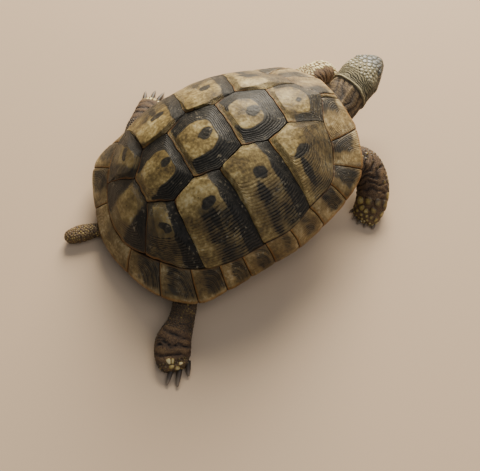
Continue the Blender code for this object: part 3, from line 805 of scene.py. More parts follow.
@dataclass(frozen=True)
class Scute:
    """One horny plate of the dome: its outline, its areola and its markings.

    The areola is the plate the animal hatched with. It is a smaller and rounder copy of the outline
    about a fixed focus, and the growth rings lie between the two.
    """

    name: str
    family: Family
    outline: Array
    side: int
    focus: tuple
    shrink: tuple
    spots: tuple                   # each its middle x and |y|, half length, half width, turn, darkness
    rings: int = 16
    relief: float = 1.7
    seed: int = 1
    corridor: float = 9.5         # half width of the tan ground behind the areola
    grime: float = 0.4            # how far the dark of the seam spreads over the edge

    around: int = 200
    middle_rings: int = 20
    per_ring: int = 4
    gap: float = 0.07             # half the seam's width
    seam_waver: float = 0.55
    mark_wander: float = 1.3      # how far the markings' edges stray
    drop: float = 0.5
    edge_round: float = 0.75
    wall: float = 0.7             # how far the side goes straight down into the seam
    thickness: float = 2.2

    def build(self, finish: Material) -> Piece:
        """Build and dress the plate.

        Args:
            finish: The horn.

        Returns:
            The piece.
        """
        outer = self.inset_outline()
        areola = self.areola_outline(outer)
        centre = areola.mean(axis=0)
        middle = np.linspace(1.0 / self.middle_rings, 1.0, self.middle_rings)
        # The rings lie closer together towards the seam, where the latest years' growth is.
        share = np.linspace(0.0, 1.0, 101)
        counted = self.rings * (0.72 * share + 0.28 * share**2)
        phase = np.linspace(0.0, self.rings, self.rings * self.per_ring + 1)[1:]
        growth = np.interp(phase, counted, share)
        plans = [centre + (areola - centre) * m for m in middle]
        plans += [areola + (outer - areola) * g for g in growth]
        g = np.repeat(np.concatenate([middle - 1.0, growth]), self.around)
        phase = np.repeat(np.concatenate([np.zeros(len(middle)), phase]), self.around)
        grid = PlateGrid(np.array(plans).reshape(-1, 2), g, phase, outer, areola)
        raised = self.profile(grid)
        top = FORM.over(grid.plan, raised).reshape(-1, self.around, 3)
        below = [FORM.over(outer, np.full(self.around, depth))
                 for depth in (-self.drop - self.wall, -self.thickness)]
        inner = centre + (outer - centre) * 0.6
        below.append(FORM.over(inner, np.full(self.around, -self.thickness)))
        start = FORM.over(centre[None], raised[:self.around].mean()[None])[0]
        end = FORM.over(centre[None], np.array([-self.thickness]))[0]
        piece = loft(self.name, np.concatenate([top, np.array(below)]), start, end)
        self.mark(piece, grid)
        finish_piece(piece, finish, (self.name,))
        return piece

    def inset_outline(self) -> Array:
        """The outline with even spacing, softened corners, a slight waver and room for the seam.

        Returns:
            The outline's points, one a row.
        """
        closed = np.vstack([self.outline, self.outline[:1]])
        length = np.concatenate([[0.0], np.cumsum(np.linalg.norm(np.diff(closed, axis=0), axis=1))])
        at = np.linspace(0.0, length[-1], self.around, endpoint=False)
        points = soften(np.stack([np.interp(at, length, closed[:, k]) for k in range(2)], axis=1), 2)
        # Neighbours share the same waver, so the seam between them wanders and stays as narrow.
        waver = np.stack([noise(at_height(points, z), 6.0, 3) for z in (0.0, 30.0)], axis=1)
        points = points + self.seam_waver * waver
        along = np.roll(points, -1, axis=0) - np.roll(points, 1, axis=0)
        inward = unit(np.stack([-along[:, 1], along[:, 0]], axis=1))
        if np.sum(inward * (points.mean(axis=0) - points)) < 0.0:
            inward = -inward
        return points + inward * self.gap

    def areola_outline(self, outer: Array) -> Array:
        """The areola's outline: a smaller copy of the plate's with rounded, uneven corners.

        Args:
            outer: The plate's outline.

        Returns:
            The areola's outline.
        """
        focus = np.array(self.focus)
        points = focus + (outer - focus) * np.array(self.shrink)
        middle = points.mean(axis=0)
        size = np.linalg.norm(points - middle, axis=1).mean()
        points = soften(points, 160)
        points = middle + (points - middle) * size / np.linalg.norm(points - middle, axis=1).mean()
        wave = noise(at_height(points, 9.0), 4.5, self.seed)
        return middle + (points - middle) * (1.0 + 0.05 * wave[:, None])

    def profile(self, grid: PlateGrid) -> Array:
        """Height of the plate's surface over the plain dome.

        Args:
            grid: The plate's upper vertices.

        Returns:
            The height at each of them.
        """
        g, width = grid.g, grid.width()
        depth = at_height(grid.plan, 4.0 * self.seed)
        plateau = self.relief * (1.0 - 0.9 * smoothstep(-0.12, 0.8, g))
        plateau += 0.3 * smoothstep(0.1, -0.9, g)
        warped = grid.phase + 0.3 * noise(depth, 8.0, self.seed + 2)
        vary = 0.3 + 0.9 * np.abs(np.sin(np.floor(warped) * 2.3 + self.seed))
        vary *= 0.75 + 0.5 * noise(depth, 5.0, self.seed + 4)
        ridge = np.minimum(0.1, 0.075 * width / self.rings) * ring_wave(warped) * vary * (g > 0.0)
        pits = 0.13 * rough(depth, 2.2, self.seed) * smoothstep(0.15, -0.15, g)
        swell = 0.15 * noise(depth, 7.0, self.seed + 5)
        edge = (1.0 - np.maximum(g, 0.0)) * width
        fallen = rounded_edge(edge, self.edge_round, self.drop)
        return plateau + ridge + pits + swell - np.where(g > 0.0, fallen, 0.0)

    def mark(self, piece: Piece, grid: PlateGrid) -> None:
        """Store where the horn is dark or amber, its growth and its seam.

        Args:
            piece: The plate.
            grid: Its upper vertices.
        """
        g, phase, width = grid.g, grid.phase, grid.width()
        spare = len(piece.data.vertices) - len(g)
        x, y = grid.plan.T
        if self.side:
            y = np.abs(y)
        x, y = (place + self.mark_wander * rough(at_height(grid.plan, z), 5.0, self.seed)
                for place, z in ((x, 0.0), (y, 40.0)))
        dark = darkness(self, x, y, g)
        for cx, cy, long_half, short_half, turn, depth in self.spots:
            c, s = math.cos(math.radians(turn)), math.sin(math.radians(turn))
            u = ((x - cx) * c + (y - cy) * s) / long_half
            v = (-(x - cx) * s + (y - cy) * c) / short_half
            dark = np.maximum(dark, depth * smoothstep(1.35, 0.7, np.hypot(u, v)))
        # Pigment runs in short streaks along the rings.
        steps = np.linalg.norm(np.roll(grid.outer, -1, axis=0) - grid.outer, axis=1)
        along = grid.each_ring(np.cumsum(steps))
        streak = noise(at_height(np.column_stack([phase * 0.75, along / 4.5]), 3.3), 1.0, self.seed)
        fine = noise(at_height(np.column_stack([phase * 1.9, along / 2.0]), 8.3), 1.0, self.seed)
        streak += 0.6 * fine
        mixed = 0.22 + 0.78 * hill(dark, 0.55, 0.3)
        dark = np.clip(dark + 0.2 * streak * smoothstep(0.0, 0.08, g) * mixed, 0.0, 1.0)
        edge = np.where(g > 0.0, (1.0 - g) * width, 9.0)
        rearward = grid.each_ring((grid.areola - grid.outer)[:, 0]) / width
        amber = smoothstep(1.5, 0.3, edge) * smoothstep(-0.1, 0.5, rearward)
        seam = smoothstep(self.grime, 0.02, edge)
        for name, values, rest in (("dark", dark, 1.0), ("growth", phase, 0.0), ("seam", seam, 1.0),
                                   ("amber", amber, 0.0)):
            add_attribute(piece, name, np.concatenate([values, np.full(spare, rest)]))


def darkness(scute: Scute, x: Array, y: Array, g: Array) -> Array:
    """How dark the horn of a plate is, by its family.

    Args:
        scute: The plate.
        x: Places ahead of the shell's middle.
        y: Places to the left of it, or distances from the midline on a costal.
        g: Growth, negative in the areola.

    Returns:
        The darkness at each place.
    """
    side = np.abs(y)
    if scute.family is Family.MIDDLE:
        # Dark front and sides round a tan areola, with a tan strip along the rear seam.
        rear = scute.outline[:, 0].min()
        growing = smoothstep(-0.12, 0.06, g)
        ahead = smoothstep(rear + 2.0, rear + 3.6, x)
        behind = smoothstep(rear + 14.0, rear + 9.0, x) * smoothstep(1.5, -1.5, side - scute.corridor)
        lines = 0.42 * hill(x, rear + 1.6, 0.5) + 0.38 * hill(x, rear + 5.0, 0.5)
        return np.maximum(growing * ahead * (1.0 - behind), lines * (g > 0.05))
    if scute.family is Family.FIRST:
        # A tan areola behind a grey-brown front, with dark sides.
        front = smoothstep(54.5, 58.5, x + 0.12 * side)
        flanks = smoothstep(9.0, 11.5, side) * smoothstep(44.0, 46.5, x)
        return np.maximum(0.74 * front, 0.78 * flanks) * smoothstep(-0.05, 0.15, g)
    if scute.family is Family.LAST:
        # Brown-tan in the middle and dark towards both sides.
        flanks = smoothstep(7.0, 12.0, side + 0.15 * (x + 60.0))
        return np.maximum(0.34 + 0.52 * flanks, 0.66 * smoothstep(-53.0, -50.5, x))
    # Costals: tan rear strip and areola, black front band, and a brown streaked outer part.
    number = scute.name[-1]
    across, down = COSTAL_PLACE[number](x, y)
    blotch = rough(at_height(np.column_stack([x, y]), 3.0), 8.0, scute.seed + 9)
    front = smoothstep(0.72, 0.82, across + 0.05 * down)
    outer = smoothstep(0.36, 0.56, down) * smoothstep(0.2, 0.33, across) * (0.62 + 0.36 * blotch)
    if number == "1":
        front = (0.46 + 0.12 * blotch) * smoothstep(0.48, 0.72, across)
        outer = smoothstep(0.3, 0.6, down) * smoothstep(0.3, 0.42, across) * (0.5 + 0.14 * blotch)
    if number == "4":
        outer = smoothstep(0.28, 0.46, down) * smoothstep(0.5, 0.32, across) * (0.7 + 0.25 * blotch)
        outer = np.maximum(outer, smoothstep(0.34, 0.6, down) * (0.52 + 0.25 * blotch))
    return np.maximum(front, outer)


@dataclass(frozen=True)
class CostalPlace:
    """Finds how far across a costal a place is, from its rear seam to its front one.

    Both seams are lines in plan on the left half, each from the back ridge to the shell's edge.
    """

    rear: tuple
    front: tuple

    def __call__(self, x: Array, y: Array) -> tuple:
        """Read the place.

        Args:
            x: Places ahead of the shell's middle.
            y: Distances from the midline.

        Returns:
            The share across, from rear to front, and the share down towards the shell's edge.
        """
        reach = []
        for (ax, ay), (bx, by) in (self.rear, self.front):
            cross = (bx - ax) * (y - ay) - (by - ay) * (x - ax)
            reach.append(np.abs(cross) / math.hypot(bx - ax, by - ay))
        share, _ = FORM.share(x, y)
        return reach[0] / (reach[0] + reach[1]), (share - 0.36) / 0.64


COSTAL_PLACE = {
    "1": CostalPlace(((23.7, 20.5), (31.0, 57.0)), ((62.9, 17.0), (46.0, 52.0))),
    "2": CostalPlace(((-8.0, 22.8), (-1.8, 62.6)), ((23.7, 20.5), (31.0, 57.0))),
    "3": CostalPlace(((-37.5, 21.0), (-37.0, 56.0)), ((-8.0, 22.8), (-1.8, 62.6))),
    "4": CostalPlace(((-49.6, 9.0), (-62.5, 30.0)), ((-37.5, 21.0), (-37.0, 56.0))),
}


@dataclass(frozen=True)
class Dome:
    """The five vertebral and eight costal scutes."""

    corners: dict = field(default_factory=lambda: {
        "v1_v2": (40.2, 14.2), "v2_c1_c2": (23.7, 20.5), "v2_v3": (8.5, 17.1),
        "v3_c2_c3": (-8.0, 22.8), "v3_v4": (-22.5, 17.9), "v4_c3_c4": (-37.5, 21.0),
        "v4_v5": (-49.6, 9.0)})
    stations: tuple = (1.6, 5.0, 7.05, 9.5, 11.45)

    def run(self, first: float, last: float, side: int) -> list:
        """Plan points along the dome's edge between two stations."""
        at = np.linspace(first, last, max(4, int(abs(last - first) * 14)))
        return [tuple(p[:2]) for p in FORM.edge_points(at, side)[0]]

    def corner(self, key: str, side: int) -> tuple:
        """A scute corner on one side of the dome."""
        x, y = self.corners[key]
        return (x, y * side)

    def vertebrals(self) -> list:
        """The five plates along the back.

        Returns:
            The plates.
        """
        end = FORM.last_station
        front, rear = self.stations[0], self.stations[-1]
        first = self.run(-front, front, 1) + [self.corner("v1_v2", 1), self.corner("v1_v2", -1)]
        last = [self.corner("v4_v5", 1)] + self.run(rear, 2 * end - rear, 1) + [self.corner("v4_v5", -1)]
        chains = (("v1_v2", "v2_c1_c2", "v2_v3"), ("v2_v3", "v3_c2_c3", "v3_v4"),
                  ("v3_v4", "v4_c3_c4", "v4_v5"))
        middle = [[self.corner(k, 1) for k in c] + [self.corner(k, -1) for k in c[::-1]] for c in chains]
        return [
            Scute("vertebral_1", Family.FIRST, np.array(first), 0, (46.5, 0.0), (0.58, 0.6),
                  ((53.5, -2.0, 2.6, 1.7, 20.0, 0.9), (57.0, 7.0, 2.4, 1.5, -30.0, 0.6)),
                  rings=9, relief=1.2, seed=11),
            Scute("vertebral_2", Family.MIDDLE, np.array(middle[0]), 0, (17.5, 0.0), (0.5, 0.54),
                  ((24.6, -1.0, 4.2, 3.8, 0.0, 1.0),), rings=8, seed=12, corridor=5.0, grime=0.8),
            Scute("vertebral_3", Family.MIDDLE, np.array(middle[1]), 0, (-12.0, 0.0), (0.58, 0.52),
                  ((-5.2, -0.3, 4.2, 3.6, 0.0, 1.0),), rings=8, seed=13, grime=0.8),
            Scute("vertebral_4", Family.MIDDLE, np.array(middle[2]), 0, (-36.0, 0.0), (0.62, 0.5),
                  ((-30.3, 0.3, 3.4, 2.5, 0.0, 1.0),), rings=8, seed=14, grime=0.8),
            Scute("vertebral_5", Family.LAST, np.array(last), 0, (-57.0, 0.0), (0.5, 0.45),
                  (), rings=11, relief=1.2, seed=15),
        ]

    def costals(self, word: str, side: int) -> list:
        """The four plates of one side.

        Args:
            word: "left" or "right".
            side: 1 for left and -1 for right.

        Returns:
            The plates.
        """
        s = self.stations
        outlines = (
            [self.corner("v2_c1_c2", side), self.corner("v1_v2", side)] + self.run(s[0], s[1], side),
            [self.corner("v3_c2_c3", side), self.corner("v2_v3", side), self.corner("v2_c1_c2", side)]
            + self.run(s[1], s[2], side),
            [self.corner("v4_c3_c4", side), self.corner("v3_v4", side), self.corner("v3_c2_c3", side)]
            + self.run(s[2], s[3], side),
            [self.corner("v4_v5", side), self.corner("v4_c3_c4", side)] + self.run(s[3], s[4], side),
        )
        focus = ((31.0, 20.0), (-3.0, 21.0), (-33.5, 22.0), (-48.5, 18.0))
        shrink = ((0.46, 0.34), (0.68, 0.32), (0.68, 0.36), (0.5, 0.45))
        spots = (((38.5, 31.5, 6.3, 2.8, -28.0, 0.95), (38.0, 42.0, 8.0, 2.6, 80.0, 0.85)),
                 ((10.8, 34.0, 4.2, 3.2, 10.0, 1.0), (8.5, 44.0, 6.5, 2.6, 80.0, 0.75)),
                 ((-20.8, 34.0, 4.6, 2.6, 0.0, 1.0), (-21.0, 43.0, 7.0, 2.4, 85.0, 0.8)),
                 ((-46.5, 28.5, 4.8, 1.7, 60.0, 0.95),))
        return [Scute("costal_%s_%d" % (word, k + 1), Family.COSTAL, np.array(outlines[k]), side,
                      (focus[k][0], focus[k][1] * side), shrink[k], spots[k], rings=(19, 20, 19, 14)[k],
                      seed=20 + 2 * k + (side > 0)) for k in range(4)]

    def build(self, finish: Material) -> None:
        """Build every plate of the dome.

        Args:
            finish: The horn.
        """
        plates = self.vertebrals()
        for word, side in (("left", 1), ("right", -1)):
            plates += self.costals(word, side)
        for plate in plates:
            plate.build(finish)


@dataclass(frozen=True)
class EdgePlate:
    """One plate of the ring round the shell's edge, from the dome round the rim and back inside."""

    name: str
    first: float
    last: float
    side: int
    seed: int
    patch: tuple = (0.27, 0.2, 0.8, 0.78)    # its middle and half width along, darkness, reach down
    slot: str = "marginal"
    relief: float = 0.35
    rings: int = 11
    gap: float = 0.07
    drop: float = 0.4
    edge_round: float = 0.6
    seam_depth: float = 0.7
    top_gap: float = 0.3                     # room between the dome's scutes and this ring
    bulge: tuple = (0.5, 2.1)                # at the open ends and on the bridge
    lip_curl: tuple = (3.2, 0.62)            # how far in and how far down the lip goes on the bridge
    lip_rise: float = 2.6                    # how far the open lip rises inside
    lining: float = 3.4                      # depth of the inner wall under the dome
    along: int = 44
    down: int = 48

    def sections(self, stations: Array) -> Array:
        """The plate's plain cross-sections.

        Args:
            stations: Places along the edge, signed across the front midline.

        Returns:
            For each station a closed run of points.
        """
        upper, rim = FORM.edge_points(stations, self.side)
        drop = unit(rim - upper)
        start = upper + drop * self.top_gap
        outward = unit(rim * np.array([1.0, 1.0, 0.0]) - np.array([FORM.crown_x - 20.0, 0.0, 0.0]))
        facing = unit(outward - drop * np.sum(outward * drop, axis=1)[:, None])
        near = np.abs(np.where(stations > FORM.last_station, 2 * FORM.last_station - stations, stations))
        bridge = FORM.bridge_share(near)[:, None]
        bulge = self.bulge[0] + (self.bulge[1] - self.bulge[0]) * bridge
        curl = (rim[:, 2] - FORM.bridge_z)[:, None]
        lip_open = rim - outward * FORM.rim_radius * 0.6 - FORM.rim_radius * UP
        lip_curled = rim - outward * self.lip_curl[0] - self.lip_curl[1] * curl * UP
        under_open = rim - outward * FORM.lip_reach + self.lip_rise * UP
        under_curled = rim - outward * FORM.lip_reach - curl * UP
        inside = FORM.over(upper[:, :2], np.full(len(upper), -self.lining)) + drop * self.top_gap
        knots = np.stack([
            start - self.seam_depth * 0.6 * facing,
            start + (rim - start) * 0.35 + facing * bulge * 0.9,
            start + (rim - start) * 0.75 + facing * bulge * 0.7,
            rim,
            lip_open + (lip_curled - lip_open) * bridge,
            under_open + (under_curled - under_open) * bridge,
            inside,
        ])
        at = np.concatenate([np.linspace(0.0, 3.0, self.down), np.linspace(3.0, 6.0, 15)[1:]])
        flat = hermite(np.arange(7.0), knots.reshape(7, -1), at)
        return flat.reshape(len(at), len(stations), 3).transpose(1, 0, 2)

    def build(self, finish: Material) -> Piece:
        """Build and dress the plate.

        Args:
            finish: The horn.

        Returns:
            The piece.
        """
        middle = (self.first + self.last) / 2.0
        _, rims = FORM.edge_points(np.array([middle - 0.05, middle + 0.05]), self.side)
        room = (self.gap + 0.02) / (np.linalg.norm(rims[1] - rims[0]) / 0.1)
        stations = np.linspace(self.first + room, self.last - room, self.along)
        grid = self.sections(stations)
        normal = np.cross(np.gradient(grid, axis=0), np.gradient(grid, axis=1))
        normal /= np.maximum(np.linalg.norm(normal, axis=2), 1e-9)[:, :, None]
        middle_rim = grid[self.along // 2, self.down // 2]
        if np.dot(normal[self.along // 2, self.down // 2], middle_rim - [0.0, 0.0, 30.0]) < 0.0:
            normal = -normal
        a, b = np.meshgrid(np.linspace(0.0, 1.0, self.along), np.arange(grid.shape[1]) / (self.down - 1.0),
                           indexing="ij")
        length = np.linalg.norm(np.diff(grid[:, self.down // 2], axis=0), axis=1).sum()
        edge = np.minimum(a, 1.0 - a) * length
        flat = grid.reshape(-1, 3)
        g = self.growth(a, np.minimum(b, 1.0))
        phase = g * self.rings + 0.4 * noise(flat, 7.0, self.seed).reshape(a.shape) * (g > 0.0)
        vary = 0.4 + 0.8 * np.abs(np.sin(np.floor(phase) * 2.3 + self.seed))
        raised = self.relief * smoothstep(0.0, 2.5, edge)
        raised += 0.06 * ring_wave(phase) * vary * (g > 0.0) * (b < 1.02)
        raised += 0.16 * noise(flat, 5.0, self.seed).reshape(a.shape)
        raised -= rounded_edge(edge, self.edge_round, self.drop)
        keep = smoothstep(0.0, 0.06, b) * smoothstep(1.32, 1.1, b)
        grid = grid + normal * (raised * keep)[:, :, None]
        piece = loft(self.name, grid, grid[0].mean(axis=0), grid[-1].mean(axis=0))
        self.mark(piece, flat, a, b, phase, edge, length)
        finish_piece(piece, finish, (self.name,))
        return piece

    def growth(self, a: Array, b: Array) -> Array:
        """How far a place has grown out from the plate's hatchling corner, low and to the rear.

        Args:
            a: Share along the plate.
            b: Share down it.

        Returns:
            The growth, from 0 to 1.
        """
        rear, low = 0.74, 0.8
        ahead = np.where(a < rear, (rear - a) / rear, (a - rear) / (1.0 - rear))
        high = np.maximum(low - b, 0.0) / low
        reach = (ahead**4 + high**4)**0.25
        return np.clip((reach - 0.3) / 0.7, 0.0, 1.0)

    def mark(self, piece: Piece, flat: Array, a: Array, b: Array,
             phase: Array, edge: Array, length: float) -> None:
        """Store where the horn is dark or amber, its growth and its seam.

        Args:
            piece: The plate.
            flat: Its vertices, one a row.
            a: Share along the plate, from its front seam to its rear one.
            b: Share down it, 1 on the rim.
            phase: Rings counted from the hatchling corner.
            edge: Distance from the nearer seam.
            length: The plate's length.
        """
        wander = 0.12 * rough(flat, 6.0, self.seed + 3).reshape(a.shape)
        runs = np.column_stack([phase.ravel() * 0.8, (a * length + b * 9.0).ravel() / 4.0])
        streak = noise(at_height(runs, 2.2), 1.0, self.seed).reshape(a.shape)
        middle = self.patch[0] + 0.1 * (b - 0.5)
        dark = smoothstep(self.patch[1] + 0.13, self.patch[1] - 0.1, np.abs(a + wander - middle))
        dark = self.patch[2] * dark * smoothstep(self.patch[3] + 0.12, self.patch[3] - 0.16, b + wander)
        dark = np.clip(dark + 0.25 * streak * (0.15 + 0.85 * hill(dark, 0.5, 0.3)), 0.0, 1.0)
        dark = np.where(b > 1.02, 0.12, dark)
        seam = np.maximum(smoothstep(0.22, 0.02, edge), smoothstep(0.012, 0.0, b))
        amber = smoothstep(1.6, 0.3, (1.0 - a) * length) + 0.75 * smoothstep(0.86, 0.99, b) * (b < 1.06)
        amber = np.clip(amber + 0.5 * smoothstep(0.07, 0.0, b), 0.0, 1.0)
        grown = phase * (b < 1.05)
        for name, values, end in (("dark", dark, 0.5), ("growth", grown, 0.0), ("seam", seam, 1.0),
                                  ("amber", amber, 0.0)):
            add_attribute(piece, name, np.concatenate([values.ravel(), [end, end]]))


@dataclass(frozen=True)
class ShellRing:
    """Nuchal, eleven marginals on each side and the one plate over the tail."""

    # For each marginal from the front: the dark patch's middle and half width along the plate, its
    # darkness, and how far down towards the rim it reaches.
    patches: tuple = ((0.16, 0.3, 0.7, 0.7), (0.24, 0.26, 0.66, 0.75), (0.34, 0.34, 0.7, 0.86),
                      (0.34, 0.27, 0.66, 0.85), (0.42, 0.16, 0.5, 0.7), (0.34, 0.16, 0.5, 0.7),
                      (0.34, 0.26, 0.58, 0.82), (0.32, 0.3, 0.6, 0.84), (0.32, 0.34, 0.62, 0.84),
                      (0.38, 0.4, 0.6, 0.84), (0.3, 0.34, 0.62, 0.84))

    def build(self, finish: Material) -> None:
        """Build every plate of the ring.

        Args:
            finish: The horn.
        """
        end = FORM.last_station
        EdgePlate("nuchal", -1.0, 1.0, 1, 60, (0.5, 0.0, 0.0, 0.5), along=14).build(finish)
        for word, side in (("left", 1), ("right", -1)):
            for number, patch in enumerate(self.patches, 1):
                EdgePlate("marginal_%s_%02d" % (word, number), number, number + 1.0, side,
                          60 + 2 * number + (side > 0), patch).build(finish)
        EdgePlate("supracaudal", end - 1.0, end + 1.0, 1, 90, (0.5, 0.12, 0.15, 0.5), along=80).build(finish)


@dataclass(frozen=True)
class Plastron:
    """The flat shield under the body, parted by grooves into six pairs of plates."""

    bottom: float = 7.5
    thickness: float = 4.0
    front: float = 67.0
    rear: float = -54.0
    bridge: tuple = (-23.0, 38.0)
    ease: float = 8.0
    bridge_half: float = 53.5
    lobe_half: float = 32.0
    rise_from: float = 44.0
    rise: float = 4.5
    seams: tuple = (-34.0, -9.0, 24.0, 37.0, 54.0)    # between the pairs, rear to front
    along: int = 180
    across: int = 121

    def half_width(self, x: Array) -> Array:
        """Half the shield's width at places along it.

        Args:
            x: Places along the shield.

        Returns:
            The half width at each.
        """
        ahead = np.clip((self.bridge[1] + self.ease - x) / (2 * self.ease), 0.0, 1.0)
        behind = np.clip((x - self.bridge[0] + self.ease) / (2 * self.ease), 0.0, 1.0)
        share = smoothstep(0.0, 1.0, np.minimum(ahead, behind))
        end = np.where(x > 0.0, self.front, self.rear)
        lobe = self.lobe_half * np.sqrt(np.maximum(0.0, 1.0 - (x / end)**6))
        return lobe + (self.bridge_half - self.lobe_half) * share

    def build(self, finish: Material) -> Piece:
        """Build and dress the shield.

        Args:
            finish: The horn.

        Returns:
            The piece.
        """
        x = np.linspace(self.rear + 1.6, self.front - 1.6, self.along)
        share = np.linspace(-1.0, 1.0, self.across)
        grid_x, grid_s = np.meshgrid(x, share, indexing="ij")
        y = grid_s * (self.half_width(grid_x) - 0.3)
        lift = self.rise * np.maximum(0.0, np.abs(y) - self.rise_from) / (self.bridge_half - self.rise_from)
        tilt = 2.0 * (np.maximum(0.0, grid_x - 57.0) / 10.0)**2
        middle = self.bottom + self.thickness / 2.0 + lift + tilt
        thin = self.thickness / 2.0 * (1.0 - 0.55 * smoothstep(0.86, 1.0, np.abs(grid_s)))
        groove, growth = self.relief(grid_x, y)
        lower = np.stack([grid_x, y, middle - thin + 0.1 + groove], axis=-1)
        upper = np.stack([grid_x, y, middle + thin - 0.1], axis=-1)
        rings = np.concatenate([lower, upper[:, ::-1]], axis=1)
        piece = loft("plastron_plates", rings, rings[0].mean(axis=0), rings[-1].mean(axis=0))
        flat = np.stack([grid_x, y, np.zeros_like(y)], axis=-1).reshape(-1, 3)
        patch = smoothstep(0.1, 0.6, noise(flat, 22.0, 71) + 0.35 * np.cos(grid_x * 0.19).ravel())
        patch = (0.8 * patch * smoothstep(4.0, 12.0, np.abs(flat[:, 1]))).reshape(y.shape)
        for name, values in (("dark", patch), ("growth", growth), ("seam", smoothstep(0.25, 0.4, groove)),
                             ("amber", np.zeros_like(y))):
            both = np.concatenate([values, values[:, ::-1]], axis=1).ravel()
            add_attribute(piece, name, np.concatenate([both, [0.0, 0.0]]))
        finish_piece(piece, finish, ("plastron",))
        return piece

    def relief(self, x: Array, y: Array) -> tuple:
        """Grooves between the plates and the growth rings on them.

        Args:
            x: Places along the shield.
            y: Places across it.

        Returns:
            Depth cut into the underside, and the growth at each place.
        """
        bent = x + 0.004 * y**2 * np.sign(x - 5.0) + 0.8 * np.sin(y * 0.25)
        across = np.abs(y + 0.7 * np.sin(x * 0.12))
        distance = np.minimum(across, 60.0)
        for seam in self.seams:
            distance = np.minimum(distance, np.abs(bent - seam))
        groove = 0.5 * smoothstep(0.9, 0.15, distance)
        growth = np.minimum(distance, 14.0) / 1.5
        ridge = 0.09 * ring_wave(growth) * smoothstep(14.0, 8.0, distance)
        return groove - ridge + 0.09, np.maximum(9.3 - growth, 0.0)


# ------------------------------------------------------------------ the soft body
@dataclass(frozen=True)
class SoftTube:
    """A limb, the neck or the tail as rounded rings along a path.

    Each station is x, y, z, half width and half height.
    """

    name: str
    path: tuple
    sides: int = 64
    spacing: float = 1.0
    squareness: float = 2.3
    inset: float = 0.35

    def frames(self) -> tuple:
        """Centres, half sizes and axes of closely spaced rings.

        Returns:
            Arrays of centres, sizes, directions, sideways and upward axes.
        """
        rows = np.array(self.path, float)
        length = np.concatenate([[0.0], np.cumsum(np.linalg.norm(np.diff(rows[:, :3], axis=0), axis=1))])
        at = np.linspace(0.0, length[-1], max(8, int(length[-1] / self.spacing)))
        fine = hermite(length, rows, at)
        along = unit(np.gradient(fine[:, :3], axis=0))
        side = unit(np.cross(UP, along))
        return fine[:, :3], fine[:, 3:] - self.inset, along, side, np.cross(along, side)

    def place(self, points: Array) -> tuple:
        """Where points lie along and round the tube.

        Args:
            points: Points in shell millimetres.

        Returns:
            Distance from the tube's far end, angle round it with 0 at its left and a quarter turn on
            top, and reach, which is 1 on its surface.
        """
        centre, half, along, side, upper = self.frames()
        far = np.linalg.norm(points[:, None] - centre[None], axis=2)
        near = np.argmin(far, axis=1)
        away = points - centre[near]
        across = np.sum(away * side[near], axis=1)
        over = np.sum(away * upper[near], axis=1)
        beyond = np.sum(away * along[near], axis=1)
        reach = np.hypot(np.hypot(across / half[near, 0], over / half[near, 1]), beyond / half[near, 1])
        return (len(centre) - 1 - near) * self.spacing, np.arctan2(over, across), reach

    def build(self) -> Piece:
        """A closed tube, flat where it meets the floor.

        Returns:
            The tube.
        """
        centre, half, along, side, upper = self.frames()
        angle = 2 * math.pi * (np.arange(self.sides) + 0.5) / self.sides
        c, s = np.cos(angle), np.sin(angle)
        power = 2.0 / self.squareness
        a = np.sign(c) * np.abs(c)**power
        b = np.sign(s) * np.abs(s)**power
        rings = (centre[:, None] + side[:, None] * (a[None] * half[:, :1])[:, :, None]
                 + upper[:, None] * (b[None] * half[:, 1:])[:, :, None])
        rings[:, :, 2] = np.maximum(rings[:, :, 2], 0.0)
        tips = [centre[0] - along[0] * 1.6, centre[-1] + along[-1] * 1.8]
        tips[1][2] = max(tips[1][2], 0.2)
        return loft(self.name, rings, tips[0], tips[1])


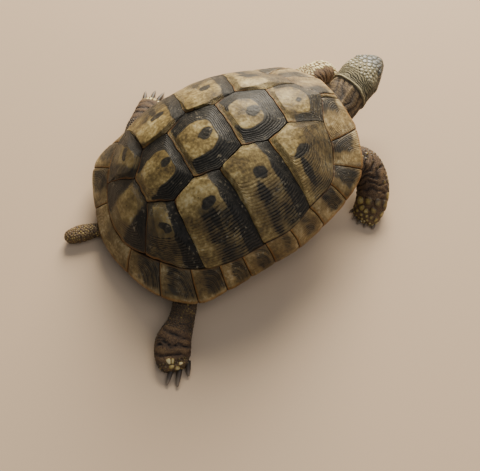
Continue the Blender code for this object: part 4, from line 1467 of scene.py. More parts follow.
@dataclass(frozen=True)
class Leg(SoftTube):
    """A leg, its foot on the floor, and the fan of claws at its end."""

    toes: tuple = (1.0, 0.0)
    claws: int = 5
    spread: float = 34.0
    claw_length: float = 5.5
    claw_radius: float = 1.45
    outer: tuple = (0.0, 0.0, 1.0)           # the face that carries the large scales
    large: tuple = (1.0, 2.2, 24.0)          # scale radius near the body and low down, and where it grows
    tone: float = 0.5
    crease: tuple = (14.0, 0.6)              # where the joint folds, from the toes, and how deep
    bare: float = 0.0                        # how far the folds' bare skin reaches along the leg
    knobs: float = 0.0                       # radius of the scale over each claw's root
    side_claws: float = 0.78                 # length of the outermost claws against the middle ones
    uneven: float = 0.16                     # how much the scales' sizes vary from patch to patch
    waver: float = 0.8                       # how much the folds wander
    crease_side: tuple = (0.0, 0.0, 1.0)     # the face that the folds are on

    def build_claws(self, finish: Material) -> Piece:
        """The foot's claws as one piece of separate horns.

        Args:
            finish: The horn.

        Returns:
            The piece.
        """
        horns = [self.horn("claw_part_%d" % k, *root) for k, root in enumerate(self.claw_roots())]
        piece = join(horns, "claws_" + self.name)
        finish_piece(piece, finish)
        return piece

    def joint_side(self) -> Array:
        """Direction towards which the folds of the joint face."""
        return np.array(self.crease_side) / np.linalg.norm(self.crease_side)

    def claw_roots(self) -> list:
        """The place, heading and length of each claw.

        Returns:
            A tuple of the three for each claw.
        """
        x, y, z, half_width, _ = self.path[-1]
        heading = math.atan2(self.toes[1], self.toes[0])
        ahead = np.array([math.cos(heading), math.sin(heading)])
        across = np.array([-math.sin(heading), math.cos(heading)])
        roots = []
        for k in range(self.claws):
            share = 2.0 * k / (self.claws - 1) - 1.0
            turn = heading + math.radians(self.spread) * share
            offset = across * half_width * 0.86 * share
            inset = 1.0 + 2.4 * share**2
            base = np.append(np.array([x, y]) + offset - ahead * inset, z)
            length = self.claw_length * (1.0 - (1.0 - self.side_claws) * abs(share))
            roots.append((base, turn, length + inset * 0.4))
        return roots

    def horn(self, name: str, base: Array, turn: float, reach: float) -> Piece:
        """One curved claw that leaves the foot and ends on the floor.

        Args:
            name: The part's name.
            base: Where it leaves the foot.
            turn: Its heading in plan.
            reach: Its length beyond the foot.

        Returns:
            The claw.
        """
        ahead = np.array([math.cos(turn), math.sin(turn), 0.0])
        t = np.linspace(-0.35, 0.97, 22)
        centre = base + ahead * (reach * t)[:, None]
        out = np.maximum(t, 0.0)
        centre[:, 2] = base[2] * (1.0 - 0.62 * out**1.6) + 0.25 * np.sin(math.pi * np.clip(t, 0, 1))
        radius = self.claw_radius * (0.96 - 0.06 * t) * np.sqrt(np.clip(1.0 - out**2.2, 0.02, 1.0))
        side = np.cross(UP, ahead)
        angle = np.linspace(0.0, 2 * math.pi, 18, endpoint=False)
        # The underside of a claw is flatter than its back.
        low = np.where(np.sin(angle) < 0.0, 0.7, 1.0)
        rings = (centre[:, None] + side * (np.cos(angle) * radius[:, None])[:, :, None]
                 + UP * (np.sin(angle) * low * 0.88 * radius[:, None])[:, :, None])
        rings[:, :, 2] = np.maximum(rings[:, :, 2], 0.05)
        tip = centre[-1] + ahead * 0.15
        piece = loft(name, rings, centre[0], tip)
        length = np.concatenate([np.repeat(t, len(angle)), [t[0], t[-1]]])
        add_attribute(piece, "length", np.clip(length, 0.0, 1.0))
        return piece


@dataclass(frozen=True)
class Eye:
    """One eye in its socket, looking out to the side and a little ahead."""

    name: str
    centre: tuple
    gaze: tuple
    radius: float = 2.85

    def build(self, finish: Material) -> Piece:
        """Build and dress the eyeball.

        Args:
            finish: The wet eye.

        Returns:
            The piece.
        """
        deselect()
        place = to_row(np.array([self.centre]))[0]
        bpy.ops.mesh.primitive_uv_sphere_add(segments=48, ring_count=24, radius=self.radius * MM,
                                             location=tuple(place))
        piece = bpy.context.object
        piece.name = self.name + "_ball"
        bpy.ops.object.transform_apply(location=True, rotation=True, scale=True)
        bpy.ops.object.shade_smooth()
        gaze = np.array(self.gaze) / np.linalg.norm(self.gaze)
        away = unit(read_vectors(piece.data.vertices, "co") - place)
        add_attribute(piece, "iris", np.clip((away @ gaze - 0.5) / 0.5, 0.0, 1.0))
        finish_piece(piece, finish, (self.name,))
        return piece


@dataclass(frozen=True)
class Trunk:
    """The body inside the shell."""

    reach: float = 0.84
    clearance: float = 4.4
    floor: float = 12.9
    half_width: float = 38.5

    def build(self) -> Piece:
        """A closed body under the dome.

        Returns:
            The body.
        """
        angles = -math.pi + 2 * math.pi * (np.arange(96) + 0.5) / 96
        reach = np.interp(angles, SEAM_TABLE[:, 0], SEAM_TABLE[:, 1])

        def plan(share: float) -> Array:
            """Places round the trunk at a share of the way to the dome's edge."""
            y = np.clip(reach * share * np.sin(angles), -self.half_width, self.half_width)
            return np.stack([FORM.crown_x + reach * share * np.cos(angles), y], axis=1)

        rings = [FORM.over(plan(s), np.full(96, -self.clearance)) for s in np.linspace(0.2, self.reach, 12)]
        for share, height in ((0.82, 24.0), (0.79, 17.0), (0.74, self.floor), (0.4, self.floor)):
            rings.append(np.column_stack([plan(share), np.full(96, height)]))
        top = np.array([FORM.crown_x, 0.0, FORM.crown_z - self.clearance])
        return loft("trunk_form", np.array(rings), top, np.array([FORM.crown_x, 0.0, self.floor]))


# Stations of the soft body: x, y, z, half width and half height, from inside the shell outwards.
NECK_HEAD = ((56.0, 1.0, 40.0, 12.0, 11.5), (70.0, 2.0, 37.0, 12.2, 11.2), (82.0, 4.3, 35.0, 12.3, 11.2),
             (92.0, 8.3, 35.2, 12.7, 11.5), (99.7, 12.1, 36.9, 13.7, 11.7), (103.9, 14.1, 38.1, 13.7, 11.0),
             (109.0, 16.5, 39.1, 13.8, 11.2), (113.7, 18.7, 39.7, 13.4, 11.0),
             (118.6, 20.4, 39.8, 12.1, 10.3), (123.0, 21.8, 39.3, 10.0, 9.0), (127.0, 22.9, 38.5, 7.6, 7.4),
             (130.4, 23.8, 37.6, 4.8, 5.5), (132.0, 24.1, 37.0, 2.5, 3.3))
TAIL = ((-50.0, 1.0, 18.6, 6.0, 4.6), (-61.0, 4.6, 13.4, 5.6, 4.4), (-71.5, 10.6, 7.6, 4.9, 4.4),
        (-80.4, 16.0, 5.3, 4.9, 4.5), (-88.9, 18.2, 5.2, 6.2, 4.6), (-95.4, 19.5, 4.9, 5.5, 4.3),
        (-99.2, 20.2, 4.5, 4.2, 3.6))
LEGS = (
    Leg("front_left",
        ((52.0, 24.0, 30.0, 9.6, 9.0), (66.0, 34.0, 27.5, 9.8, 9.2), (80.0, 44.0, 22.5, 10.0, 9.2),
         (91.0, 50.0, 17.5, 9.8, 9.0), (100.5, 54.5, 12.5, 9.6, 8.4), (109.0, 58.0, 8.2, 9.4, 7.4),
         (115.5, 60.0, 4.1, 9.2, 6.5), (119.5, 61.0, 2.9, 7.6, 4.8)),
        # The high tone makes this leg much paler than the others: partly its own tone, partly a painted
        # sunlit look.
        claw_length=5.1, outer=(0.75, 0.15, 0.65), tone=0.95, crease=(30.0, 0.8), bare=26.0,
        crease_side=(0.35, -0.92, -0.1)),
    Leg("front_right",
        ((52.0, -23.0, 30.0, 9.6, 9.5), (66.0, -26.0, 28.0, 10.0, 9.6), (78.0, -27.0, 25.0, 10.6, 10.0),
         (86.5, -32.0, 21.0, 10.6, 10.0), (87.0, -41.5, 15.0, 10.5, 9.5), (82.8, -49.5, 9.0, 10.3, 8.5),
         (76.8, -54.4, 4.1, 9.5, 6.5), (72.0, -56.2, 2.9, 7.7, 4.8)),
        toes=(-0.94, -0.34), claw_length=5.0, outer=(0.1, -0.8, 0.6), claw_radius=1.6,
        large=(1.1, 3.0, 19.0), tone=0.42, crease=(38.0, 1.25), bare=26.0,
        crease_side=(-0.62, -0.3, 0.72), uneven=0.34),
    Leg("rear_left",
        ((-40.0, 31.0, 20.5, 10.0, 7.6), (-38.0, 45.0, 12.4, 9.4, 7.0), (-33.5, 59.0, 8.0, 9.2, 6.8),
         (-26.5, 72.5, 7.8, 9.0, 7.4), (-17.4, 83.2, 6.6, 8.5, 6.6), (-8.9, 91.8, 4.1, 9.0, 6.4),
         (-4.9, 95.4, 3.0, 7.0, 4.8)),
        toes=(0.7, 0.71), claws=4, spread=17.0, claw_length=13.4, claw_radius=1.75, side_claws=0.92,
        outer=(0.3, 0.5, 0.8), large=(0.8, 1.2, 9.0), tone=0.12, crease=(14.0, 0.9), bare=12.0,
        crease_side=(0.3, 0.6, 0.8), knobs=2.0, uneven=0.3, waver=0.3),
    Leg("rear_right",
        ((-41.0, -32.0, 20.5, 10.0, 7.6), (-46.5, -46.0, 12.4, 8.8, 7.0), (-54.0, -59.4, 8.4, 7.6, 6.9),
         (-61.4, -69.1, 8.4, 8.2, 7.7), (-69.8, -77.2, 7.4, 10.9, 7.3), (-74.1, -85.0, 4.1, 10.3, 6.5),
         (-75.0, -90.5, 3.0, 7.4, 4.9)),
        toes=(-0.62, -0.78), claws=4, spread=15.0, claw_length=14.2, claw_radius=1.75, side_claws=0.36,
        outer=(-0.3, -0.5, 0.8), large=(0.75, 1.1, 9.0), tone=0.3, crease=(13.0, 1.0), bare=9.5,
        crease_side=(-0.05, -0.55, 0.85), knobs=2.0, uneven=0.3, waver=0.3),
)
EYES = (Eye("eye_left", (118.0, 29.2, 42.9), (0.05, 1.0, 0.12)),
        Eye("eye_right", (122.0, 12.6, 42.9), (0.5, -0.86, 0.12)))
NECK = SoftTube("neck_form", NECK_HEAD)
TAIL_TUBE = SoftTube("tail_form", TAIL)


@dataclass(frozen=True)
class HeadAxes:
    """The head's own axes, from between the eyes: ahead, to its left and the height over the floor."""

    origin: tuple = (120.0, 20.9)
    heading: float = 15.5
    eye: tuple = (0.0, 8.53, 42.9)
    eye_radius: float = 2.85
    eye_side: float = 6.0            # distance from the head's middle beyond which the eyes lie
    far: float = 9.0                 # stands for any place that is not near an eye
    opening: tuple = (2.15, 1.45)
    mouth_z: float = 35.0
    drum: tuple = (-9.6, 12.0, 39.2)

    def local(self, points: Array) -> tuple:
        """Points as distances ahead, to the left and above the floor.

        Args:
            points: Points, one a row.

        Returns:
            The three distances of each point.
        """
        c, s = math.cos(math.radians(self.heading)), math.sin(math.radians(self.heading))
        x, y = points[:, 0] - self.origin[0], points[:, 1] - self.origin[1]
        return x * c + y * s, -x * s + y * c, points[:, 2]

    def lid(self, ahead: Array, left: Array, z: Array) -> Array:
        """How far out from the eye a place is: 1 on the rim of the opening, large on the crown."""
        out = np.hypot((ahead - self.eye[0]) / self.opening[0], (z - self.eye[2]) / self.opening[1])
        return np.where(np.abs(left) > self.eye_side, out, self.far)

    def from_eye(self, ahead: Array, left: Array, z: Array) -> Array:
        """Distance from the line through both eyes, in side view."""
        out = np.hypot(ahead - self.eye[0], z - self.eye[2])
        return np.where(np.abs(left) > self.eye_side, out, self.far)

    def mouth(self, ahead: Array) -> Array:
        """Height of the mouth's line, which rises towards its corner and dips at the beak's tip."""
        return self.mouth_z + 1.3 * smoothstep(1.0, -9.0, ahead) - 0.5 * smoothstep(9.0, 12.0, ahead)

    def horn(self, ahead: Array, z: Array) -> Array:
        """1 on the horn of the beak and 0 on the skin.

        Args:
            ahead: Places ahead.
            z: Heights above the floor.

        Returns:
            The share of horn at each place.
        """
        rise = z - self.mouth(ahead)
        upper = smoothstep(0.2, 4.0, ahead + 0.9 * rise) * smoothstep(4.0, 3.0, rise) * (rise >= 0.0)
        lower = smoothstep(-0.4, 3.6, ahead - 1.2 * rise) * smoothstep(-3.8, -2.9, rise) * (rise < 0.0)
        return upper + lower

    def from_drum(self, ahead: Array, left: Array, z: Array) -> Array:
        """Distance from the middle of the nearer eardrum."""
        return np.sqrt((ahead - self.drum[0])**2 + (np.abs(left) - self.drum[1])**2 + (z - self.drum[2])**2)


HEAD = HeadAxes()


def crease(phase: Array, sharp: float = 0.6) -> Array:
    """1 in the narrow groove at each whole number and 0 on the rounded crests between."""
    return 1.0 - np.abs(np.sin(math.pi * phase))**sharp


@dataclass(frozen=True)
class SkinMap:
    """Places on the skin as arrays, with the soft form that each belongs to."""

    points: Array
    normals: Array
    owner: Array      # 0 neck and head, 1 tail, 2 onwards the legs, -1 trunk
    along: Array      # distance from the form's far end
    around: Array     # angle round the form
    surface: BVHTree | None = None

    def part(self, number: int) -> "SkinMap":
        """The places on one soft form."""
        arrays = (self.points, self.normals, self.owner, self.along, self.around)
        return SkinMap(*(values[self.owner == number] for values in arrays))


@dataclass(frozen=True)
class Skin:
    """One skin over the trunk, neck, head, legs and tail, with no seams."""

    voxel: float = 1.2
    shown_from: float = 0.76       # share of the way to the shell's edge beyond which skin can show
    head_from: tuple = (-25.0, 84.0, 24.0)    # the head's finer skin: least distance ahead, x and z
    margin: float = 15.0           # round a path, within which skin can belong to its form
    outermost: float = 1.35        # reach beyond which skin belongs to the trunk

    def build(self, finish: Material) -> SkinMap:
        """Join the soft forms, melt them into one skin, then fold and colour it.

        Args:
            finish: The hide.

        Returns:
            The skin as arrays, for what lies on it.
        """
        forms = [Trunk(), NECK, TAIL_TUBE, *LEGS]
        skin = join([form.build() for form in forms], "skin")
        apply_modifier(skin, "REMESH", mode="VOXEL", voxel_size=self.voxel * MM, use_smooth_shade=True)
        apply_modifier(skin, "SMOOTH", factor=0.5, iterations=2)
        points = self.points(skin)
        self.refine(skin, FORM.share(points[:, 0], points[:, 1])[0] > self.shown_from)
        apply_modifier(skin, "SMOOTH", factor=0.5, iterations=2)
        points = self.points(skin)
        ahead, x, z = self.head_from
        self.refine(skin, (HEAD.local(points)[0] > ahead) & (points[:, 0] > x) & (points[:, 2] > z))
        apply_modifier(skin, "SMOOTH", factor=0.5, iterations=1)
        found = self.sculpt(skin)
        legs = ["leg_%s_%s" % (leg.name, part) for leg in LEGS for part in ("upper", "lower")]
        finish_piece(skin, finish, ("trunk", "neck", "head", "lower_jaw", "tail", *legs))
        return found

    def points(self, skin: Piece) -> Array:
        """The skin's vertices in shell millimetres."""
        return read_vectors(skin.data.vertices, "co") / MM - SHELL_ORIGIN

    def normals(self, skin: Piece) -> Array:
        """The skin's vertex normals."""
        return read_vectors(skin.data.vertex_normals, "vector")

    def refine(self, skin: Piece, chosen: Array) -> None:
        """Halve the faces whose corners are all chosen.

        Args:
            skin: The skin.
            chosen: Whether each vertex is chosen.
        """
        mesh = bmesh.new()
        mesh.from_mesh(skin.data)
        edges = {edge for face in mesh.faces if all(chosen[v.index] for v in face.verts)
                 for edge in face.edges}
        order = sorted(edges, key=lambda edge: edge.index)
        bmesh.ops.subdivide_edges(mesh, edges=order, cuts=1, use_grid_fill=True)
        mesh.to_mesh(skin.data)
        mesh.free()
        skin.data.shade_smooth()

    def sculpt(self, skin: Piece) -> SkinMap:
        """Move the vertices into folds and features, and store the skin's colour values.

        Args:
            skin: The smooth skin.

        Returns:
            The skin as arrays.
        """
        points, normals = self.points(skin), self.normals(skin)
        owner, along, around = self.owners(points)
        values = {name: np.zeros(len(points)) for name in ("fold", "pale", "earth", "horn")}
        lift = 0.12 * rough(points, 2.4, 5)
        values["pale"][:] = 0.35
        values["earth"][:] = np.where(owner == 0, smoothstep(-19.5, -23.0, HEAD.local(points)[0]) * 0.75, 1.0)
        smooth = SkinMap(points, normals, owner, along, around)
        sculptors = [self.sculpt_head, self.sculpt_tail] + [partial(self.sculpt_leg, leg) for leg in LEGS]
        for number, sculptor in enumerate(sculptors):
            here = owner == number
            found = sculptor(smooth.part(number))
            lift[here] += found.pop("lift")
            for name, value in found.items():
                values[name][here] = value
        # The soles stay flat on the floor.
        lift *= smoothstep(0.2, 2.0, points[:, 2])
        moved = self.lay_lids(points + normals * lift[:, None])
        moved[:, 2] = np.maximum(moved[:, 2], 0.0)
        skin.data.vertices.foreach_set("co", to_row(moved).astype(np.float32).ravel())
        skin.data.update()
        for name, value in values.items():
            add_attribute(skin, name, np.clip(value, 0.0, 1.0))
        faces = [tuple(face.vertices) for face in skin.data.polygons]
        surface = BVHTree.FromPolygons(moved.tolist(), faces)
        return SkinMap(moved, self.normals(skin), owner, along, around, surface)

    def lay_lids(self, points: Array) -> Array:
        """Draw the skin over each eyeball as lids, and let it sink behind the ball in the opening.

        Args:
            points: The skin's vertices.

        Returns:
            The vertices with the lids laid.
        """
        ahead, left, z = HEAD.local(points)
        lid = HEAD.lid(ahead, left, z)
        from_axis = HEAD.from_eye(ahead, left, z)
        moved = points.copy()
        for eye in EYES:
            away = points - np.array(eye.centre)
            far = np.linalg.norm(away, axis=1)
            near = (far < 6.0) & (from_axis < 4.0)
            over = HEAD.eye_radius + 0.42 - 0.16 * smoothstep(1.6, 1.0, lid)
            over -= 1.1 * smoothstep(1.04, 0.9, lid)
            target = np.array(eye.centre) + away / far[:, None] * over[:, None]
            weight = (smoothstep(3.3, 2.5, from_axis) * near)[:, None]
            moved += (target - points) * weight
        return moved

    def owners(self, points: Array) -> tuple:
        """Which soft form each place belongs to, and where it lies along and round that form.

        Args:
            points: Places on the skin.

        Returns:
            The form's number, or -1 in the trunk, with the distance from its end and the angle.
        """
        owner = np.full(len(points), -1)
        along, around = np.zeros(len(points)), np.zeros(len(points))
        best = np.full(len(points), self.outermost)
        for k, tube in enumerate((NECK, TAIL_TUBE) + LEGS):
            low = np.min(tube.path, axis=0)[:3] - self.margin
            high = np.max(tube.path, axis=0)[:3] + self.margin
            near = np.where(np.all((points > low) & (points < high), axis=1))[0]
            s, angle, reach = tube.place(points[near])
            win = reach < best[near]
            spot = near[win]
            owner[spot], along[spot], around[spot], best[spot] = k, s[win], angle[win], reach[win]
        return owner, along, around

    def sculpt_head(self, part: SkinMap) -> dict:
        """Features of the head and the folds of the neck.

        Args:
            part: The smooth head and neck.

        Returns:
            How far each place moves outwards, as lift, and its colour values, with painted shade in the folds
            and hollows.
        """
        points = part.points
        ahead, left, z = HEAD.local(points)
        side = np.abs(left)
        top = smoothstep(42.0, 46.0, z)
        wave = noise(points, 6.0, 21)
        # The collar: one thin pale fold across the neck, with the skin sunk behind it.
        from_collar = ahead + 20.5 + 0.5 * wave
        collar = hill(from_collar, 0.0, 0.6) * smoothstep(31.0, 36.0, z)
        lift = 0.6 * collar - 0.5 * smoothstep(0.2, -1.2, from_collar) * smoothstep(-9.0, -2.0, from_collar)
        # Painted shade lies in the sunk skin just behind the collar.
        shade = 0.4 * hill(from_collar, -1.2, 0.5)
        # Fine folds between the collar and the crown.
        strength = smoothstep(0.6, 1.6, from_collar) * smoothstep(11.5, 8.0, from_collar)
        slant = from_collar + 0.2 * side + 1.3 * noise(points, 4.0, 22)
        fine = crease(slant / 1.5) * strength
        lift -= 0.42 * fine
        shade += 0.85 * fine
        # Long folds of the neck behind the collar.
        behind = smoothstep(-0.8, -2.5, from_collar)
        long_fold = crease(part.around * 1.9 + 0.03 * ahead + 0.7 * noise(points, 9.0, 23), 0.5) * behind
        cross = crease(ahead / 2.2 + 1.1 * noise(points, 7.0, 24), 0.6) * behind
        lift -= 0.7 * long_fold + 0.16 * cross
        shade += 0.5 * long_fold + 0.25 * cross
        second = hill(side + 0.22 * (ahead + 36.0), 9.8, 1.0) * behind * smoothstep(41.0, 43.5, z)
        lift += 0.8 * second
        # Brows, the hollow between them, the sunk cheek ahead of the eye, and the jaw's bulge.
        lift += 0.7 * hill(side, 7.6, 1.9) * hill(ahead, 0.2, 4.0) * hill(z, 47.2, 1.7)
        lift -= 0.35 * hill(left, 0.0, 3.2) * hill(ahead, 2.0, 4.5) * top
        lift -= 0.55 * hill(ahead, 6.6, 2.2) * hill(z, 42.0, 2.0) * smoothstep(3.0, 5.0, side)
        lift += 0.4 * hill(ahead, -7.0, 3.5) * hill(z, 38.0, 3.0) * smoothstep(7.0, 10.0, side)
        # A crease round the eyeball's bulge. The lids themselves are laid on the ball later.
        from_eye = HEAD.from_eye(ahead, left, z)
        lift -= 0.3 * hill(from_eye, 3.7, 0.5)
        lid = HEAD.lid(ahead, left, z)
        # Painted shade darkens the rim of the eye opening and the crease round the ball.
        shade += 0.9 * smoothstep(1.15, 0.95, lid) + 0.35 * hill(from_eye, 3.6, 0.45)
        # Nostrils.
        nostril = np.where(ahead > 9.5, np.hypot(side - 1.55, z - 41.0), 9.0)
        lift -= 0.75 * smoothstep(0.8, 0.35, nostril)
        lift += 0.18 * hill(nostril, 1.05, 0.3)
        # Painted shade fills the nostrils.
        shade += smoothstep(0.8, 0.5, nostril)
        # Mouth and beak.
        rise = z - HEAD.mouth(ahead)
        open_part = smoothstep(-9.5, -7.5, ahead)
        lift -= 0.75 * hill(rise, 0.0, 0.33) * open_part
        lift += 0.3 * hill(rise, 0.95, 0.6) * open_part
        # Painted shade lies along the mouth's line.
        shade += 0.9 * hill(rise, 0.0, 0.35) * open_part
        horn = HEAD.horn(ahead, z)
        lift += 0.18 * horn
        lift -= 0.2 * hill(rise, 4.2, 0.35) * smoothstep(1.0, 3.0, ahead) * smoothstep(42.0, 41.0, z)
        # Eardrums.
        drum = HEAD.from_drum(ahead, left, z)
        lift += 0.22 * hill(drum, 3.2, 0.5) - 0.5 * smoothstep(3.0, 2.4, drum)
        # Loose throat.
        throat = smoothstep(35.0, 32.5, z) * smoothstep(1.0, -3.0, ahead)
        sag = crease(left / 2.4 + 0.7 * noise(points, 6.0, 25), 0.5) * throat
        lift -= 0.4 * sag
        # Painted shade lies in the throat's folds.
        shade += 0.6 * sag
        # The top of the head behind the eyes is paler: partly the skin's own cream, partly a painted
        # highlight.
        pale = 0.38 + 0.3 * top * hill(ahead, -10.0, 8.0) + 0.06 * behind - 0.2 * smoothstep(-5.0, 0.0, ahead)
        pale += 0.42 * collar + 0.3 * second
        # Painted shade: the skin low on the neck behind the head is darker.
        pale -= 0.25 * smoothstep(40.0, 35.0, z) * smoothstep(-2.0, -8.0, ahead)
        pale -= 0.3 * smoothstep(3.0, 2.4, drum)
        return {"lift": lift, "fold": shade, "pale": pale, "horn": horn}

    def sculpt_tail(self, part: SkinMap) -> dict:
        """Cross folds of the tail.

        Args:
            part: The smooth tail.

        Returns:
            How far each place moves outwards, as lift, and its colour values, with painted shade in the
            folds.
        """
        fold = crease(part.along / 3.1 + 0.5 * noise(part.points, 5.0, 31), 0.5)
        fold *= smoothstep(3.0, 8.0, part.along)
        # The folds are sunk and also darkened as painted shade.
        return {"lift": -0.35 * fold, "fold": 0.55 * fold, "pale": 0.5}

    def sculpt_leg(self, leg: Leg, part: SkinMap) -> dict:
        """Folds at a leg's joint, and a swelling at the root of each claw.

        Args:
            leg: The leg.
            part: Its smooth skin.

        Returns:
            How far each place moves outwards, as lift, and its colour values, with painted shade in the
            folds.
        """
        points, along = part.points, part.along
        place, depth = leg.crease
        facing = part.normals @ leg.joint_side()
        bent = hill(along, place, max(11.0, leg.bare)) * smoothstep(-0.1, 0.7, facing)
        waver = noise(points, 6.0, 41)
        deep = crease(along / 5.2 + leg.waver * waver + 0.5 * facing, 0.4) * bent
        plain = crease(along / 2.4 + 1.3 * waver + 0.4 * facing, 0.6) * smoothstep(8.0, 14.0, along)
        lift = -1.4 * depth * deep - 0.2 * plain
        # Painted shade darkens the folds.
        shade = 0.75 * deep + 0.3 * plain
        for base, turn, _ in leg.claw_roots():
            middle = base + 0.4 * np.array([math.cos(turn), math.sin(turn), 0.0])
            lift += 0.75 * hill(np.linalg.norm(points - middle, axis=1), 0.0, 2.7)
        pale = 0.24 + 0.22 * leg.tone + 0.1 * bent * (1.0 - deep)
        return {"lift": lift, "fold": shade, "pale": pale}


@dataclass(frozen=True)
class ScaleCoat:
    """Horny scales that lie close together on part of the skin, each a small raised shield.

    Scales are spread so that each keeps its own radius of room, then eased apart and cut where
    they meet their neighbours.
    """

    name: str
    seed: int
    slot: str = "skin"
    sharp: float = 6.0             # low for round scales and high for angular ones
    gap: float = 0.07
    near: int = 12
    coarse_from: float = 1.35      # radius from which a scale is cut finer
    room: float = 1.72             # least distance between roots, in radii
    uv_patch: float = 0.0015       # half width of each scale's own patch on the unwrapped skin
    # Rings of a small and of a large scale from the rim inwards: share of its reach, and of its height.
    plain: tuple = ((1.0, -0.35), (0.8, 0.75))
    fine: tuple = ((1.0, -0.35), (0.93, 0.5), (0.66, 0.92))

    def build(self, skin: SkinMap, fields: dict, finish: Material) -> Piece:
        """Build and dress the scales.

        Args:
            skin: The skin that they lie on.
            fields: For each of the skin's vertices the scales' radius, which is 0 where there are
            none, and their height, tint, painted sky reflection and place u and v on the unwrapped skin.
            finish: The horn.

        Returns:
            The piece.
        """
        chosen = np.where(fields["radius"] > 0.0)[0]
        rng = np.random.default_rng(self.seed)
        ground = skin.points[chosen]
        tree = tree_of(ground)
        roots = self.ease(skin, ground, self.spread(ground, tree, fields["radius"][chosen], rng))
        nearest = chosen[[tree.find(point)[1] for point in roots]]
        radius = fields["radius"][nearest]
        normal = skin.normals[nearest]
        reach, t1, t2 = self.cells(roots, normal, radius)
        points, faces, share, owner, angle = [], [], [], [], []
        for large, count, rings in ((False, 8, self.plain), (True, 14, self.fine)):
            theta = 2 * math.pi * np.arange(count) / count
            quads = faces_between(len(rings), count)
            rim = (len(rings) - 1) * count
            for k in np.where((radius >= self.coarse_from) == large)[0]:
                base = len(points)
                out = np.cos(theta)[:, None] * t1[k] + np.sin(theta)[:, None] * t2[k]
                out *= reach(k, theta)[:, None]
                rise = normal[k] * fields["height"][nearest[k]]
                for part, raised in rings:
                    feet = [skin.surface.find_nearest(roots[k] + step * part)[0] for step in out]
                    points += list(np.array(feet) + rise * raised)
                points.append(roots[k] + rise)
                share += [part for part, _ in rings for _ in range(count)] + [0.0]
                angle += [*theta] * len(rings) + [0.0]
                owner += [k] * (len(points) - base)
                faces += (quads + base).tolist()
                top = base + rim
                faces += [(top + m, top + (m + 1) % count, len(points) - 1) for m in range(count)]
        piece = piece_from(self.name, np.array(points), faces)
        owner, share, angle = np.array(owner), np.array(share), np.array(angle)
        tint = fields["tint"][nearest] + rng.normal(0.0, 0.1, len(roots))
        add_attribute(piece, "tint", tint[owner])
        add_attribute(piece, "crown", 1.0 - share**2)
        # Each scale's share of painted sky reflection.
        add_attribute(piece, "grey", fields["grey"][nearest][owner])
        root_uv = np.stack([fields["u"][nearest], fields["v"][nearest]], axis=1)[owner]
        patch = root_uv + self.uv_patch * share[:, None] * np.stack([np.cos(angle), np.sin(angle)], axis=1)
        corners = np.empty(len(piece.data.loops), np.int32)
        piece.data.loops.foreach_get("vertex_index", corners)
        uv = piece.data.uv_layers.new(name="OFBake").data
        uv.foreach_set("uv", patch[corners].astype(np.float32).ravel())
        finish_piece(piece, finish)
        return piece

    def spread(self, points: Array, tree: KDTree, radius: Array, rng: np.random.Generator) -> Array:
        """Pick roots that keep their radii apart.

        Args:
            points: Places to pick from.
            tree: A search tree over them.
            radius: The radius wanted at each.
            rng: The random order.

        Returns:
            The picked places.
        """
        free = np.ones(len(points), bool)
        picked = []
        for k in rng.permutation(len(points)):
            if free[k]:
                picked.append(k)
                for _, other, _ in tree.find_range(points[k], self.room * radius[k]):
                    free[other] = False
        return points[picked]

    def ease(self, skin: SkinMap, points: Array, roots: Array) -> Array:
        """Move each root twice to the middle of the ground that is nearest to it.

        Args:
            skin: The skin.
            points: The ground.
            roots: The roots.

        Returns:
            The moved roots.
        """
        for _ in range(2):
            tree = tree_of(roots)
            owner = np.array([tree.find(point)[1] for point in points])
            total = np.zeros_like(roots)
            np.add.at(total, owner, points)
            count = np.bincount(owner, minlength=len(roots))[:, None]
            middle = np.where(count > 0, total / np.maximum(count, 1), roots)
            roots = np.array([skin.surface.find_nearest(point)[0] for point in middle])
        return roots

    def cells(self, roots: Array, normal: Array, radius: Array) -> tuple:
        """How far each scale reaches in each direction before it meets a neighbour.

        Args:
            roots: The scales' roots.
            normal: The skin's normals there.
            radius: The scales' radii.

        Returns:
            A function of a scale's number and directions that gives its reach, and two axes in the
            skin's plane.
        """
        tree = tree_of(roots)
        t1 = unit(np.cross(normal, np.array([0.31, 0.52, 0.79])))    # any axis but the normal's own
        t2 = np.cross(normal, t1)

        def reach(k: int, theta: Array) -> Array:
            """The reach of scale k in the directions theta.

            Args:
                k: The scale's number.
                theta: The directions.

            Returns:
                How far it reaches in each.
            """
            near = [other for _, other, _ in tree.find_n(roots[k], self.near) if other != k]
            away = roots[near] - roots[k]
            flat = np.stack([away @ t1[k], away @ t2[k]], axis=1)
            length = np.linalg.norm(flat, axis=1) + 1e-6
            limit = length * radius[k] / (radius[k] + radius[near])
            facing = np.maximum(np.cos(theta[:, None] - np.arctan2(flat[:, 1], flat[:, 0])[None]), 0.0)
            pull = np.sum((facing / limit)**self.sharp, axis=1) + (1.0 / (1.2 * radius[k]))**self.sharp
            return (1.0 - self.gap) * pull**(-1.0 / self.sharp)

        return reach, t1, t2


